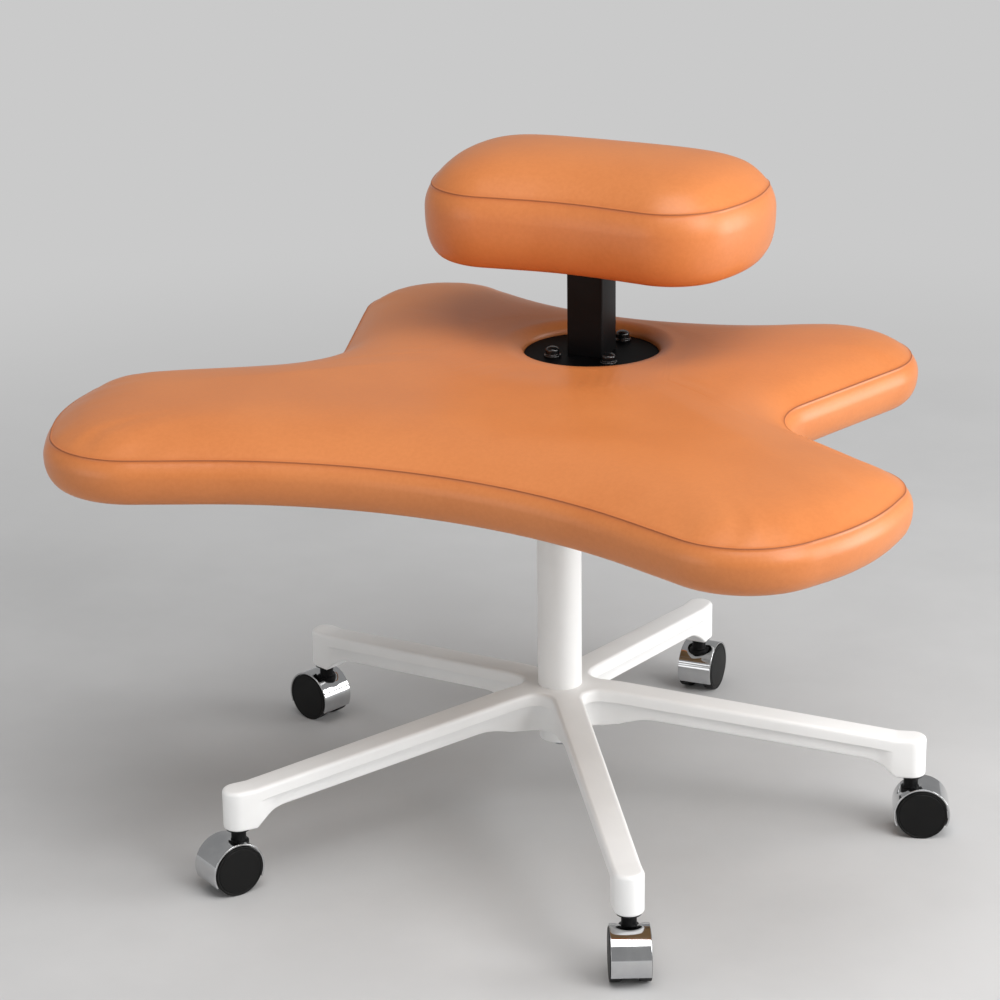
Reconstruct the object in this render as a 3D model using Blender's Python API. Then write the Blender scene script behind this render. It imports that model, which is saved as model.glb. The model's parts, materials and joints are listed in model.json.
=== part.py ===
"""Cross-legged office chair: butterfly seat, low back pad, gas lift and five-arm base on casters.

Metres, +Z up. The origin is on the floor under the lift column, and -Y is the front of the seat.
"""
import math

import bmesh
import bpy
from mathutils import Matrix, Vector

# Fits between pieces
GAP = 0.0003
RUN = 0.00035

# Twin-wheel casters
WHEEL_RADIUS = 0.024
WHEEL_WIDTH = 0.0105
WHEEL_EDGE = 0.0012
WHEEL_DOME = 0.0004
WHEEL_SPACING = 0.0155
WHEEL_ROOM = 0.0008
HOOD_WALL = 0.0018
HOOD_WIDTH = 0.0355
HOOD_TAIL_ANGLE = math.radians(-35)
HOOD_NOSE_ANGLE = math.radians(206)
WEB_ROOM = 0.0006
WEB_FOOT_RADIUS = 0.0075
AXLE_RADIUS = 0.003
AXLE_SEAT = 0.0075
CASTER_TRAIL = 0.0105
STEM_NECK_RADIUS = 0.0068
STEM_NECK = 0.0089
STEM_TAIL_RADIUS = 0.0045
STEM_TAIL = 0.012
STEM_COLLAR = 0.008
STEM_RADIUS = 0.0055
STEM_LENGTH = 0.032
STEM_TIP = 0.0015
SOCKET_WALL = 0.002
SOCKET_FLANGE_RADIUS = 0.0105
SOCKET_FLANGE = 0.0014
CASTER_HEADINGS = [math.radians(a) for a in (-64, 20, 91, 161, -121)]

# Five-arm base
ARM_COUNT = 5
FIRST_ARM_ANGLE = math.radians(-56.6)
CASTER_CIRCLE = 0.335
BOSS_RADIUS = 0.0135
BOSS_HEIGHT = 0.039
BOSS_SWEEP = 0.032
ARM_FALL = 0.037
ARM_DEPTH = 0.026
FLANGE_DEPTH = 0.012
FLANGE_STEP = 0.0035
STEP_RUN_OUT = 0.016
EDGE_ROUND = 0.004
WEB_ROUND = 0.0025
HUB_DEPTH = 0.039
HUB_FLAT = 0.050
HUB_BLEND = 0.040
HUB_FILLET = 0.016
ARM_ROOT_WIDTH = 0.0292
POCKET_WALL = 0.004
POCKET_START = 0.085

# Gas lift
TUBE_RADIUS = 0.021
TUBE_TAPER = 0.0012
TUBE_BORE = 0.0175
TUBE_TAIL = 0.016
TUBE_REACH = 0.1535
TUBE_FLOOR = 0.004
BEARING_RADIUS = 0.011
BEARING_HEIGHT = 0.008
ROD_RADIUS = 0.005
ROD_SHOULDER_RADIUS = 0.008
ROD_SHOULDER = 0.004
ROD_TAIL = 0.008
CLIP_RADIUS = 0.0085
CLIP_THICKNESS = 0.0014
CLIP_GROOVE = 0.001
PISTON_HEIGHT = 0.012
CYLINDER_RADIUS = 0.014
CYLINDER_WALL = 0.0015
CYLINDER_FOOT = 0.008
CYLINDER_SHOWN = 0.057
CYLINDER_TAPER = 0.0012
BUSH_LENGTH = 0.080
BUSH_FLANGE_RADIUS = 0.0203
BUSH_FLANGE = 0.003
LIFT_DOWN = 0.052
LIFT_UP = 0.053
LIFT_MARGIN = 0.004
VALVE_RADIUS = 0.003
VALVE_LENGTH = 0.0195
VALVE_SHOWN = 0.0045
VALVE_TIP_RADIUS = 0.0018

# Seat mechanism and height lever
SOCKET_DEPTH = 0.027
MECHANISM_DEPTH = 0.039
MECHANISM_PLATE = 0.003
MECHANISM_PLATE_SIZE = (0.165, 0.150)
MECHANISM_PLATE_CORNER = 0.018
HOUSING_FOOT_SIZE = (0.062, 0.050)
HOUSING_HEAD_SIZE = (0.104, 0.062)
HOUSING_CORNER = 0.012
MECHANISM_BOLT_SPACING = (0.135, 0.120)
MECHANISM_BOLT_RADIUS = 0.003
MECHANISM_BOLT_HEAD = 0.0042
MECHANISM_BOLT_HEAD_RADIUS = 0.0062
CHAMBER_WIDTH = 0.016
CHAMBER_NOSE = 0.010
CHAMBER_TAIL = 0.036
LEVER_RADIUS = 0.0035
LEVER_ARM = 0.022
LEVER_FINGER = 0.005
LEVER_DROP = 0.034
LEVER_SHOULDER = 0.036
LEVER_KNEE = 0.088
LEVER_REACH = 0.183
LEVER_LIFT = math.radians(8)
LEVER_ROOM = 0.0012
LEVER_PIN_RADIUS = 0.0025
LEVER_PIN_SEAT = 0.005
PADDLE_SIZE = (0.062, 0.034, 0.012)
PADDLE_CORNER = 0.005
PADDLE_GRIP = 0.042
PADDLE_TAPER = 0.7

# Butterfly seat: arcs of its seam line, right half, as centre x, centre y and radius
SEAT_FRONT_RADIUS = 0.50
SEAT_FRONT_LOBE = (0.284, -0.275, 0.080)
SEAT_OUTER_LOBE = (0.3235, -0.182, 0.065)
SEAT_END_RADIUS = 0.2275
SEAT_NOTCH = (0.302, -0.003, 0.075)
SEAT_REAR_LOBE = (0.200, 0.181, 0.080)
SEAT_REAR_RADIUS = 0.28
SEAT_SIDE = 0.0425
SEAT_CROWN = 0.0225
SEAT_CROWN_REACH = 0.062
SEAT_CROWN_STEPS = (0.065, 0.23, 0.55)
SEAT_RIM_ROUND = 0.018
BAND_SWELL = 0.0055
SEAM_TUCK = 0.0015
CROWN_POWER = 0.5
BOARD_THICKNESS = 0.012
BOARD_INSET = 0.017

# Post and its plate in the seat's hole
POST_Y = 0.080
POST_SIZE = (0.036, 0.036)
POST_CORNER = 0.0025
POST_WALL = 0.002
POST_SHOWN = 0.0855
HOLE_RADIUS = 0.064
HOLE_LIP = 0.020
PLATE_SINK = 0.015
PLATE_THICKNESS = 0.004
RISER_MARGIN = 0.004
POST_BOLT_FRONT = (0.0285, -0.027)
POST_BOLT_BACK = (0.0125, 0.047)
POST_BOLT_RADIUS = 0.004
POST_BOLT_HEAD_RADIUS = 0.0083
POST_BOLT_HEAD = 0.0095

# Bone-shaped back pad: arcs of its seam line, right half, as centre x, centre y and radius
PAD_FRONT_RADIUS = 0.32
PAD_NEAR_LOBE = (0.087, 0.064, 0.064)
PAD_FAR_LOBE = (0.096, 0.129, 0.059)
PAD_END_RADIUS = 0.16
PAD_SIDE = 0.070
PAD_CROWN = 0.040
PAD_CROWN_REACH = 0.088
PAD_CROWN_STEPS = (0.045, 0.135, 0.27, 0.455)
PAD_RIM_ROUND = 0.020
PAD_BOARD_THICKNESS = 0.010
PAD_BOARD_INSET = 0.028
BRACKET_SIZE = (0.110, 0.070)
BRACKET_CORNER = 0.012
BRACKET_THICKNESS = 0.004
PAD_SCREW_SPACING = 0.084
PAD_SCREW_RADIUS = 0.0025
PAD_SCREW_HEAD_RADIUS = 0.0048
PAD_SCREW_HEAD = 0.003

# Facets
ARC_STEP = math.radians(24)
LONGEST_CHORD = 0.055
ARC_ROOM = 1.005
FINE_SEGMENTS = 32
ROD_SEGMENTS = 20
WHEEL_SEGMENTS = 24
SMALL_SEGMENTS = 14

# Heights, stacked from the floor up
HOOD_BORE = WHEEL_RADIUS + WHEEL_ROOM
HOOD_RADIUS = HOOD_BORE + HOOD_WALL
BOSS_BOTTOM = WHEEL_RADIUS + HOOD_RADIUS + STEM_NECK
ARM_END_TOP = BOSS_BOTTOM + BOSS_HEIGHT
HUB_TOP = ARM_END_TOP + ARM_FALL
HUB_BOTTOM = HUB_TOP - HUB_DEPTH
TUBE_BOTTOM = HUB_BOTTOM - TUBE_TAIL
TUBE_TOP = HUB_TOP + TUBE_REACH
BUSH_TOP = TUBE_TOP + GAP + BUSH_FLANGE
MECHANISM_BOTTOM = BUSH_TOP + CYLINDER_SHOWN
MECHANISM_TOP = MECHANISM_BOTTOM + MECHANISM_DEPTH + MECHANISM_PLATE
CYLINDER_TOP = MECHANISM_BOTTOM + SOCKET_DEPTH
SEAT_BOTTOM = MECHANISM_TOP + GAP
BOARD_TOP = SEAT_BOTTOM + BOARD_THICKNESS
SEAT_SEAM = SEAT_BOTTOM + SEAT_SIDE
SEAT_TOP = SEAT_SEAM + SEAT_CROWN
PLATE_TOP = SEAT_TOP - PLATE_SINK
PLATE_BOTTOM = PLATE_TOP - PLATE_THICKNESS
POST_TOP = PLATE_TOP + GAP + POST_SHOWN
BRACKET_TOP = POST_TOP + GAP + BRACKET_THICKNESS
PAD_BOTTOM = BRACKET_TOP + GAP
PAD_BOARD_TOP = PAD_BOTTOM + PAD_BOARD_THICKNESS
PAD_SEAM = PAD_BOTTOM + PAD_SIDE

# Radii where an arm's section changes
BOSS_INSIDE = CASTER_CIRCLE - BOSS_RADIUS
SWEEP_START = BOSS_INSIDE - BOSS_SWEEP
SOCKET_RADIUS = STEM_RADIUS + RUN + SOCKET_WALL


def srgb(red, green, blue):
    """A display colour of 0 to 255 as linear light."""
    return [((v / 255 + 0.055) / 1.055) ** 2.4 if v > 10 else v / 3295 for v in (red, green, blue)]


def finish(name, colour, roughness, metallic=0.0):
    """A plain surface finish."""
    made = bpy.data.materials.new(name)
    made.use_nodes = True
    shader = made.node_tree.nodes["Principled BSDF"]
    shader.inputs["Base Color"].default_value = (*srgb(*colour), 1.0)
    shader.inputs["Roughness"].default_value = roughness
    shader.inputs["Metallic"].default_value = metallic
    return made


def between(value, low, high):
    """The share of the way from low to high, kept within 0 and 1."""
    return min(max((value - low) / (high - low), 0.0), 1.0)


def add_object(name, bm, surface=None, parent=None):
    """Turn a finished bmesh into a named object with its faces pointing out."""
    bmesh.ops.recalc_face_normals(bm, faces=bm.faces)
    mesh = bpy.data.meshes.new(name)
    bm.to_mesh(mesh)
    bm.free()
    mesh.shade_smooth()
    mesh.set_sharp_from_angle(angle=math.radians(35))
    made = bpy.data.objects.new(name, mesh)
    bpy.context.scene.collection.objects.link(made)
    made.parent = parent
    if surface:
        mesh.materials.append(surface)
    return made


def add_empty(name, location, turn=0.0):
    """A joint's place: pieces parented to it move about its origin."""
    made = bpy.data.objects.new(name, None)
    bpy.context.scene.collection.objects.link(made)
    made.location = location
    made.rotation_euler = (0.0, 0.0, turn)
    return made


def combine(target, name, bm, operation):
    """Cut a shape out of a piece, or join it on, with the shape kept as a hidden guide."""
    tool = add_object(name, bm, parent=target.parent)
    tool.hide_render = True
    tool.display_type = "WIRE"
    step = target.modifiers.new(name, "BOOLEAN")
    step.operation = operation
    step.solver = "EXACT"
    step.object = tool


def skin(bm, loops, closed):
    """Join neighbouring loops of vertices with faces; a repeated vertex makes a triangle."""
    count = len(loops[0])
    pairs = list(zip(loops, loops[1:]))
    if closed:
        pairs.append((loops[-1], loops[0]))
    for lower, upper in pairs:
        for i in range(count):
            j = (i + 1) % count
            bm.faces.new(dict.fromkeys((lower[i], lower[j], upper[j], upper[i])))


def loft(rings, closed=False, bm=None):
    """Skin equal rings of points; an open loft is capped, a closed one runs back to its first ring."""
    bm = bm or bmesh.new()
    loops = [[bm.verts.new(point) for point in ring] for ring in rings]
    skin(bm, loops, closed)
    if not closed:
        bm.faces.new(loops[0])
        bm.faces.new(loops[-1])
    return bm


def turned(profile, segments, closed=False, bm=None, centre=(0.0, 0.0)):
    """Turn (radius, height) points about +Z; a closed profile makes a ring."""
    bm = bm or bmesh.new()
    angles = [(i + 0.5) * math.tau / segments for i in range(segments)]
    loops = []
    for radius, height in profile:
        if radius == 0.0:
            loops.append([bm.verts.new((*centre, height))] * segments)
            continue
        loops.append([
            bm.verts.new((centre[0] + radius * math.cos(a), centre[1] + radius * math.sin(a), height))
            for a in angles
        ])
    skin(bm, loops, closed)
    return bm


def peg(radius, bottom, top, segments=SMALL_SEGMENTS, bm=None, centre=(0.0, 0.0)):
    """A plain round peg."""
    return turned([(0.0, bottom), (radius, bottom), (radius, top), (0.0, top)], segments, False, bm, centre)


def lie_along_y(bm):
    """Lay a piece turned about +Z along +Y."""
    bmesh.ops.rotate(bm, verts=bm.verts, matrix=Matrix.Rotation(-math.pi / 2, 3, "X"))
    return bm


def tangent_outline(circles, arc_step=ARC_STEP, stations=None):
    """Runs of (x, y, normal x, normal y) round a closed outline of arcs joined by common tangents.

    A circle is (x, y, radius, turn): turn is 1 where the outline bulges round it, -1 where it bends in.
    Arcs and straight runs alternate; stations gives the points wanted inside a straight run.
    """
    headings = []
    for here, there in zip(circles, circles[1:] + circles[:1]):
        across = (there[0] - here[0], there[1] - here[1])
        swing = math.asin((there[2] * there[3] - here[2] * here[3]) / math.hypot(*across))
        headings.append(math.atan2(across[1], across[0]) - swing)
    arcs = []
    for index, (x, y, radius, turn) in enumerate(circles):
        start = headings[index - 1]
        sweep = (headings[index] - start) * turn % math.tau
        steps = max(1, round(sweep / arc_step), math.ceil(sweep * radius / LONGEST_CHORD))
        arc = []
        for i in range(steps + 1):
            heading = start + turn * sweep * i / steps
            normal = (math.sin(heading), -math.cos(heading))
            arc.append((x + turn * radius * normal[0], y + turn * radius * normal[1], *normal))
        arcs.append(arc)
    runs = []
    for arc, following in zip(arcs, arcs[1:] + arcs[:1]):
        first, last = Vector(arc[-1]), Vector(following[0])
        shares = stations(first, last) if stations else []
        runs += [arc, [tuple(first.lerp(last, share)) for share in shares]]
    return runs


def even_stations(first, last):
    """Shares that divide a long straight run into short chords."""
    count = math.ceil(math.hypot(last[0] - first[0], last[1] - first[1]) / LONGEST_CHORD)
    return [i / count for i in range(1, count)]


def joined(runs):
    """One list of outline points."""
    return [point for run in runs for point in run]


def ring(outline, offset, height):
    """An outline moved outwards by offset, at one height."""
    return [(x + nx * offset, y + ny * offset, height) for x, y, nx, ny in outline]


def mirrored(front, right, rear):
    """Circles right round a shape that is the same left and right of X = 0."""
    left = [(-x, y, radius, turn) for x, y, radius, turn in reversed(right)]
    return front + right + rear + left


def arc_round(first, second, radius):
    """A bulging run of two small circles with the wide arc between them that just holds both."""
    apart = Vector((second[0] - first[0], second[1] - first[1]))
    near, far = [(radius - circle[2]) * ARC_ROOM for circle in (first, second)]
    along = (near * near - far * far + apart.length_squared) / (2 * apart.length)
    inwards = math.sqrt(max(0.0, near * near - along * along))
    ahead = apart.normalized()
    middle = (first[0] + ahead.x * along - ahead.y * inwards, first[1] + ahead.y * along + ahead.x * inwards)
    return [(*first, 1), (*middle, radius, 1), (*second, 1)]


def waist(lobe, radius, side):
    """The hollow arc on the middle line that just clears a lobe and its mirror image; side is -1 in front."""
    reach = (radius + lobe[2]) * ARC_ROOM
    return (0.0, lobe[1] + side * math.sqrt(reach * reach - lobe[0] * lobe[0]), radius, -1)


def rounded_rectangle(size, corner, centre=(0.0, 0.0)):
    """Outline of a rectangle with round corners."""
    half_x, half_y = size[0] / 2 - corner, size[1] / 2 - corner
    signs = ((1, -1), (1, 1), (-1, 1), (-1, -1))
    circles = [(centre[0] + sx * half_x, centre[1] + sy * half_y, corner, 1) for sx, sy in signs]
    return joined(tangent_outline(circles, math.radians(30)))


def seat_outline():
    """The butterfly seam line: two front lobes, side notches, two rear lobes and shallow waists."""
    front = [waist(SEAT_FRONT_LOBE, SEAT_FRONT_RADIUS, -1)]
    right = arc_round(SEAT_FRONT_LOBE, SEAT_OUTER_LOBE, SEAT_END_RADIUS)
    right += [(*SEAT_NOTCH, -1), (*SEAT_REAR_LOBE, 1)]
    rear = [waist(SEAT_REAR_LOBE, SEAT_REAR_RADIUS, 1)]
    return joined(tangent_outline(mirrored(front, right, rear), stations=even_stations))


def pad_outline():
    """The back pad's seam line: a bone with a shallow waist in front and a straight back."""
    front = [waist(PAD_NEAR_LOBE, PAD_FRONT_RADIUS, -1)]
    right = arc_round(PAD_NEAR_LOBE, PAD_FAR_LOBE, PAD_END_RADIUS)
    return joined(tangent_outline(mirrored(front, right, []), stations=even_stations))


def crown(inset, reach, height):
    """Height of a stuffed top panel above its seam, at a distance in from the seam."""
    rest = 1.0 - min(inset / reach, 1.0)
    return height * (1.0 - rest * rest) ** CROWN_POWER


def band_rings(outline, bottom, seam, rim_round):
    """Rings up a cushion's side: round rim, swelling band and the tucked seam."""
    low, high = bottom + rim_round, seam - SEAM_TUCK * 4
    return [
        ring(outline, BAND_SWELL - rim_round, bottom),
        ring(outline, BAND_SWELL - rim_round * 0.3, bottom + rim_round * 0.3),
        ring(outline, BAND_SWELL * 0.8, low),
        ring(outline, BAND_SWELL, (low + high) / 2),
        ring(outline, BAND_SWELL * 0.5, high),
        ring(outline, -SEAM_TUCK, seam),
    ]


# Base


def arm_place(index):
    """Direction of an arm and the angle that it points at."""
    angle = FIRST_ARM_ANGLE + index * math.tau / ARM_COUNT
    return angle, (CASTER_CIRCLE * math.cos(angle), CASTER_CIRCLE * math.sin(angle))


def base_top(radius):
    """Height of the base's upper face: level hub, then falling arms, then level bosses."""
    return HUB_TOP - ARM_FALL * between(radius, HUB_FLAT, BOSS_INSIDE)


def base_bottom(radius):
    """Height of the underside: deep hub, shallow arm, then a quarter round down into the boss."""
    arm = base_top(radius) - ARM_DEPTH
    hub = HUB_BOTTOM + (arm - HUB_BOTTOM) * between(radius, HUB_FLAT, HUB_FLAT + HUB_BLEND)
    sweep = between(radius, SWEEP_START, BOSS_INSIDE)
    return hub + (BOSS_BOTTOM - hub) * (1.0 - math.sqrt(1.0 - sweep * sweep))


def web_step(radius):
    """How far the web stands in from the flange: it runs out to nothing at the boss."""
    return FLANGE_STEP * (1.0 - between(radius, BOSS_INSIDE - STEP_RUN_OUT, BOSS_INSIDE))


def arm_stations(first, last):
    """Shares along an arm's side where its section changes."""
    bends = [BOSS_SWEEP * (1.0 - share) for share in (0.0, 0.45, 0.75, 0.92)]
    wanted = [HUB_FLAT + HUB_BLEND] + [BOSS_INSIDE - bend for bend in bends] + [BOSS_INSIDE]
    inner, outer = math.hypot(first[0], first[1]), math.hypot(last[0], last[1])
    return sorted((radius - inner) / (outer - inner) for radius in wanted)


def base_circles():
    """Circles of the star: a fillet between neighbouring arms, then the round end of each arm."""
    half_turn = math.pi / ARM_COUNT
    distance = (ARM_ROOT_WIDTH / 2 + HUB_FILLET) / math.sin(half_turn)
    circles = []
    for index in range(ARM_COUNT):
        angle, end = arm_place(index)
        fillet = (distance * math.cos(angle - half_turn), distance * math.sin(angle - half_turn))
        circles += [(*fillet, HUB_FILLET, -1), (*end, BOSS_RADIUS, 1)]
    return circles


def cap_star(bm, loop, runs):
    """Close one side of the star: strips across the arms, their round ends and the hub."""
    marks = []
    position = 0
    for run in runs:
        marks.append(loop[position:position + len(run)])
        position += len(run)
    hub = []
    for index in range(ARM_COUNT):
        fillet, right, end, left = marks[4 * index:4 * index + 4]
        next_fillet = marks[(4 * index + 4) % len(marks)]
        right_side = [fillet[-1]] + right + [end[0]]
        left_side = [next_fillet[0]] + left[::-1] + [end[-1]]
        for i in range(len(right_side) - 1):
            bm.faces.new((right_side[i], right_side[i + 1], left_side[i + 1], left_side[i]))
        bm.faces.new(end)
        hub += fillet
    bm.faces.new(hub)


def base_body():
    """The star as rings of one outline: web, step, flange and rounded top edge."""
    runs = tangent_outline(base_circles(), math.radians(18), arm_stations)
    outline = joined(runs)
    sections = [
        lambda r: (-web_step(r) - WEB_ROUND, base_bottom(r)),
        lambda r: (-web_step(r), base_bottom(r) + WEB_ROUND),
        lambda r: (-web_step(r), base_top(r) - FLANGE_DEPTH - FLANGE_STEP / 2),
        lambda r: (0.0, base_top(r) - FLANGE_DEPTH),
        lambda r: (0.0, base_top(r) - EDGE_ROUND),
        lambda r: (-EDGE_ROUND * 0.3, base_top(r) - EDGE_ROUND * 0.3),
        lambda r: (-EDGE_ROUND, base_top(r)),
    ]
    bm = bmesh.new()
    loops = []
    for section in sections:
        loop = []
        for x, y, nx, ny in outline:
            offset, height = section(math.hypot(x, y))
            loop.append(bm.verts.new((x + nx * offset, y + ny * offset, height)))
        loops.append(loop)
    skin(bm, loops, False)
    cap_star(bm, loops[0], runs)
    cap_star(bm, loops[-1], runs)
    return bm


def arm_pockets():
    """Open channels under the arms, which leave a flange and two walls."""
    bm = bmesh.new()
    stop = SWEEP_START
    for index in range(ARM_COUNT):
        turn = Matrix.Rotation(arm_place(index)[0], 3, "Z")
        rings = []
        for radius in (POCKET_START, stop):
            width = ARM_ROOT_WIDTH / 2 + (BOSS_RADIUS - ARM_ROOT_WIDTH / 2) * radius / CASTER_CIRCLE
            half = width - FLANGE_STEP - POCKET_WALL
            roof = base_top(radius) - FLANGE_DEPTH
            corners = ((-half, 0.0), (half, 0.0), (half * 0.8, roof), (-half * 0.8, roof))
            rings.append([turn @ Vector((radius, y, z)) for y, z in corners])
        loft(rings, bm=bm)
    return bm


def tube_radius(height):
    """Outer radius of the lift tube, which tapers where the hub grips it."""
    return TUBE_RADIUS - TUBE_TAPER * between(HUB_TOP - height, 0.0, HUB_TOP - TUBE_BOTTOM)


def build_base(paint, plastic):
    """Star base with its hub bore, arm channels and caster sockets."""
    star = add_object("star_base", base_body(), paint)
    combine(star, "arm_pocket_guide", arm_pockets(), "DIFFERENCE")
    slope = TUBE_TAPER / (HUB_TOP - TUBE_BOTTOM)
    low, high = HUB_BOTTOM - HUB_DEPTH, HUB_TOP + HUB_DEPTH
    bore = [(0.0, low), (TUBE_RADIUS + GAP - slope * (HUB_TOP - low), low)]
    bore += [(TUBE_RADIUS + GAP, HUB_TOP), (TUBE_RADIUS + GAP, high), (0.0, high)]
    combine(star, "hub_bore_guide", turned(bore, FINE_SEGMENTS), "DIFFERENCE")
    holes = bmesh.new()
    top = BOSS_BOTTOM + STEM_LENGTH + SOCKET_WALL + 2 * GAP
    for index in range(ARM_COUNT):
        peg(SOCKET_RADIUS + GAP, BOSS_BOTTOM - BOSS_HEIGHT / 2, top + GAP, bm=holes, centre=arm_place(index)[1])
    combine(star, "socket_hole_guide", holes, "DIFFERENCE")
    for index in range(ARM_COUNT):
        bore_radius = STEM_RADIUS + RUN
        flange = BOSS_BOTTOM - GAP
        sleeve = [
            (0.0, top - SOCKET_WALL),
            (bore_radius, top - SOCKET_WALL),
            (bore_radius, flange - SOCKET_FLANGE),
            (SOCKET_FLANGE_RADIUS, flange - SOCKET_FLANGE),
            (SOCKET_FLANGE_RADIUS, flange),
            (SOCKET_RADIUS, flange),
            (SOCKET_RADIUS, top),
            (0.0, top),
        ]
        socket = add_object(f"caster_socket_{index + 1}", turned(sleeve, SMALL_SEGMENTS), plastic)
        socket.location = (*arm_place(index)[1], 0.0)


# Casters


def arc_points(radius, start, stop, steps):
    """Points in X and Z on an arc about the axle."""
    angles = [start + (stop - start) * i / steps for i in range(steps + 1)]
    return [(CASTER_TRAIL + radius * math.cos(a), WHEEL_RADIUS + radius * math.sin(a)) for a in angles]


def across_caster(points, half_width):
    """A slab of one side view, centred on the caster's middle plane."""
    return loft([[(x, y, z) for x, z in points] for y in (-half_width, half_width)])


def caster_hood(surface, parent, name):
    """Curved hood over both wheels, with the web between them that carries axle and stem."""
    arc_steps = 14
    outer = arc_points(HOOD_RADIUS, HOOD_TAIL_ANGLE, HOOD_NOSE_ANGLE, arc_steps)
    inner = arc_points(HOOD_BORE, HOOD_NOSE_ANGLE, HOOD_TAIL_ANGLE, arc_steps)
    hood = add_object(name, across_caster(outer + inner, HOOD_WIDTH / 2), surface, parent)
    web = arc_points((HOOD_BORE + HOOD_RADIUS) / 2, 0.0, math.pi, arc_steps)
    web += arc_points(WEB_FOOT_RADIUS, math.pi, math.tau, arc_steps // 2)
    web_half = WHEEL_SPACING / 2 - WEB_ROOM
    combine(hood, name + "_web_guide", across_caster(web, web_half), "UNION")
    neck = STEM_NECK_RADIUS + GAP
    tail = STEM_TAIL_RADIUS + GAP
    bottom = stem_seat() - STEM_TAIL - GAP
    bore = [(0.0, bottom), (tail, bottom), (tail, stem_seat() - GAP), (neck, stem_seat() - GAP)]
    bore += [(neck, BOSS_BOTTOM), (0.0, BOSS_BOTTOM)]
    combine(hood, name + "_stem_guide", turned(bore, SMALL_SEGMENTS), "DIFFERENCE")
    hole = lie_along_y(peg(AXLE_RADIUS + GAP, -HOOD_WIDTH, HOOD_WIDTH))
    bmesh.ops.translate(hole, verts=hole.verts, vec=(CASTER_TRAIL, 0.0, WHEEL_RADIUS))
    combine(hood, name + "_axle_guide", hole, "DIFFERENCE")


def stem_seat():
    """Height where the stem's neck stands in the caster's web."""
    reach = math.sqrt(HOOD_BORE ** 2 - CASTER_TRAIL ** 2)
    return WHEEL_RADIUS + reach - STEM_COLLAR


def caster_stem(surface, parent, name):
    """Turned pivot: tail in the web, thick neck, slim shaft up into the socket."""
    neck_top = BOSS_BOTTOM - SOCKET_FLANGE - 2 * GAP
    shaft_top = BOSS_BOTTOM + STEM_LENGTH
    profile = [
        (0.0, stem_seat() - STEM_TAIL),
        (STEM_TAIL_RADIUS, stem_seat() - STEM_TAIL),
        (STEM_TAIL_RADIUS, stem_seat()),
        (STEM_NECK_RADIUS, stem_seat()),
        (STEM_NECK_RADIUS, neck_top),
        (STEM_RADIUS, neck_top),
        (STEM_RADIUS, shaft_top - STEM_TIP),
        (STEM_RADIUS - STEM_TIP, shaft_top),
        (0.0, shaft_top),
    ]
    add_object(name, turned(profile, SMALL_SEGMENTS), surface, parent)


def caster_wheel(surface, parent, name, side):
    """Disc wheel with a blind bore, laid on its axle; side is 1 or -1 along the axle."""
    tread = WHEEL_RADIUS / math.cos(math.pi / WHEEL_SEGMENTS)
    bore = AXLE_RADIUS + RUN
    profile = [
        (0.0, AXLE_SEAT + GAP),
        (bore, AXLE_SEAT + GAP),
        (bore, 0.0),
        (tread - WHEEL_EDGE, 0.0),
        (tread, WHEEL_EDGE),
        (tread, WHEEL_WIDTH - WHEEL_EDGE),
        (tread - WHEEL_EDGE, WHEEL_WIDTH),
        (0.0, WHEEL_WIDTH + WHEEL_DOME),
    ]
    wheel = add_object(name, turned(profile, WHEEL_SEGMENTS), surface, parent)
    wheel.location = (CASTER_TRAIL, side * WHEEL_SPACING / 2, WHEEL_RADIUS)
    wheel.rotation_euler = (-side * math.pi / 2, 0.0, 0.0)


def build_casters(chrome, steel, rubber, black):
    """Five casters, each on an empty that stands on its swivel axis and points along its trail."""
    half_axle = WHEEL_SPACING / 2 + AXLE_SEAT
    for index in range(ARM_COUNT):
        number = index + 1
        heading = CASTER_HEADINGS[index % len(CASTER_HEADINGS)]
        swivel = add_empty(f"caster_swivel_{number}", (*arm_place(index)[1], 0.0), heading)
        caster_hood(chrome, swivel, f"caster_hood_{number}")
        caster_stem(black, swivel, f"caster_stem_{number}")
        bar = lie_along_y(peg(AXLE_RADIUS, -half_axle, half_axle))
        axle = add_object(f"caster_axle_{number}", bar, steel, swivel)
        axle.location = (CASTER_TRAIL, 0.0, WHEEL_RADIUS)
        caster_wheel(rubber, swivel, f"wheel_{number}_left", -1)
        caster_wheel(rubber, swivel, f"wheel_{number}_right", 1)


# Gas lift


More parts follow.
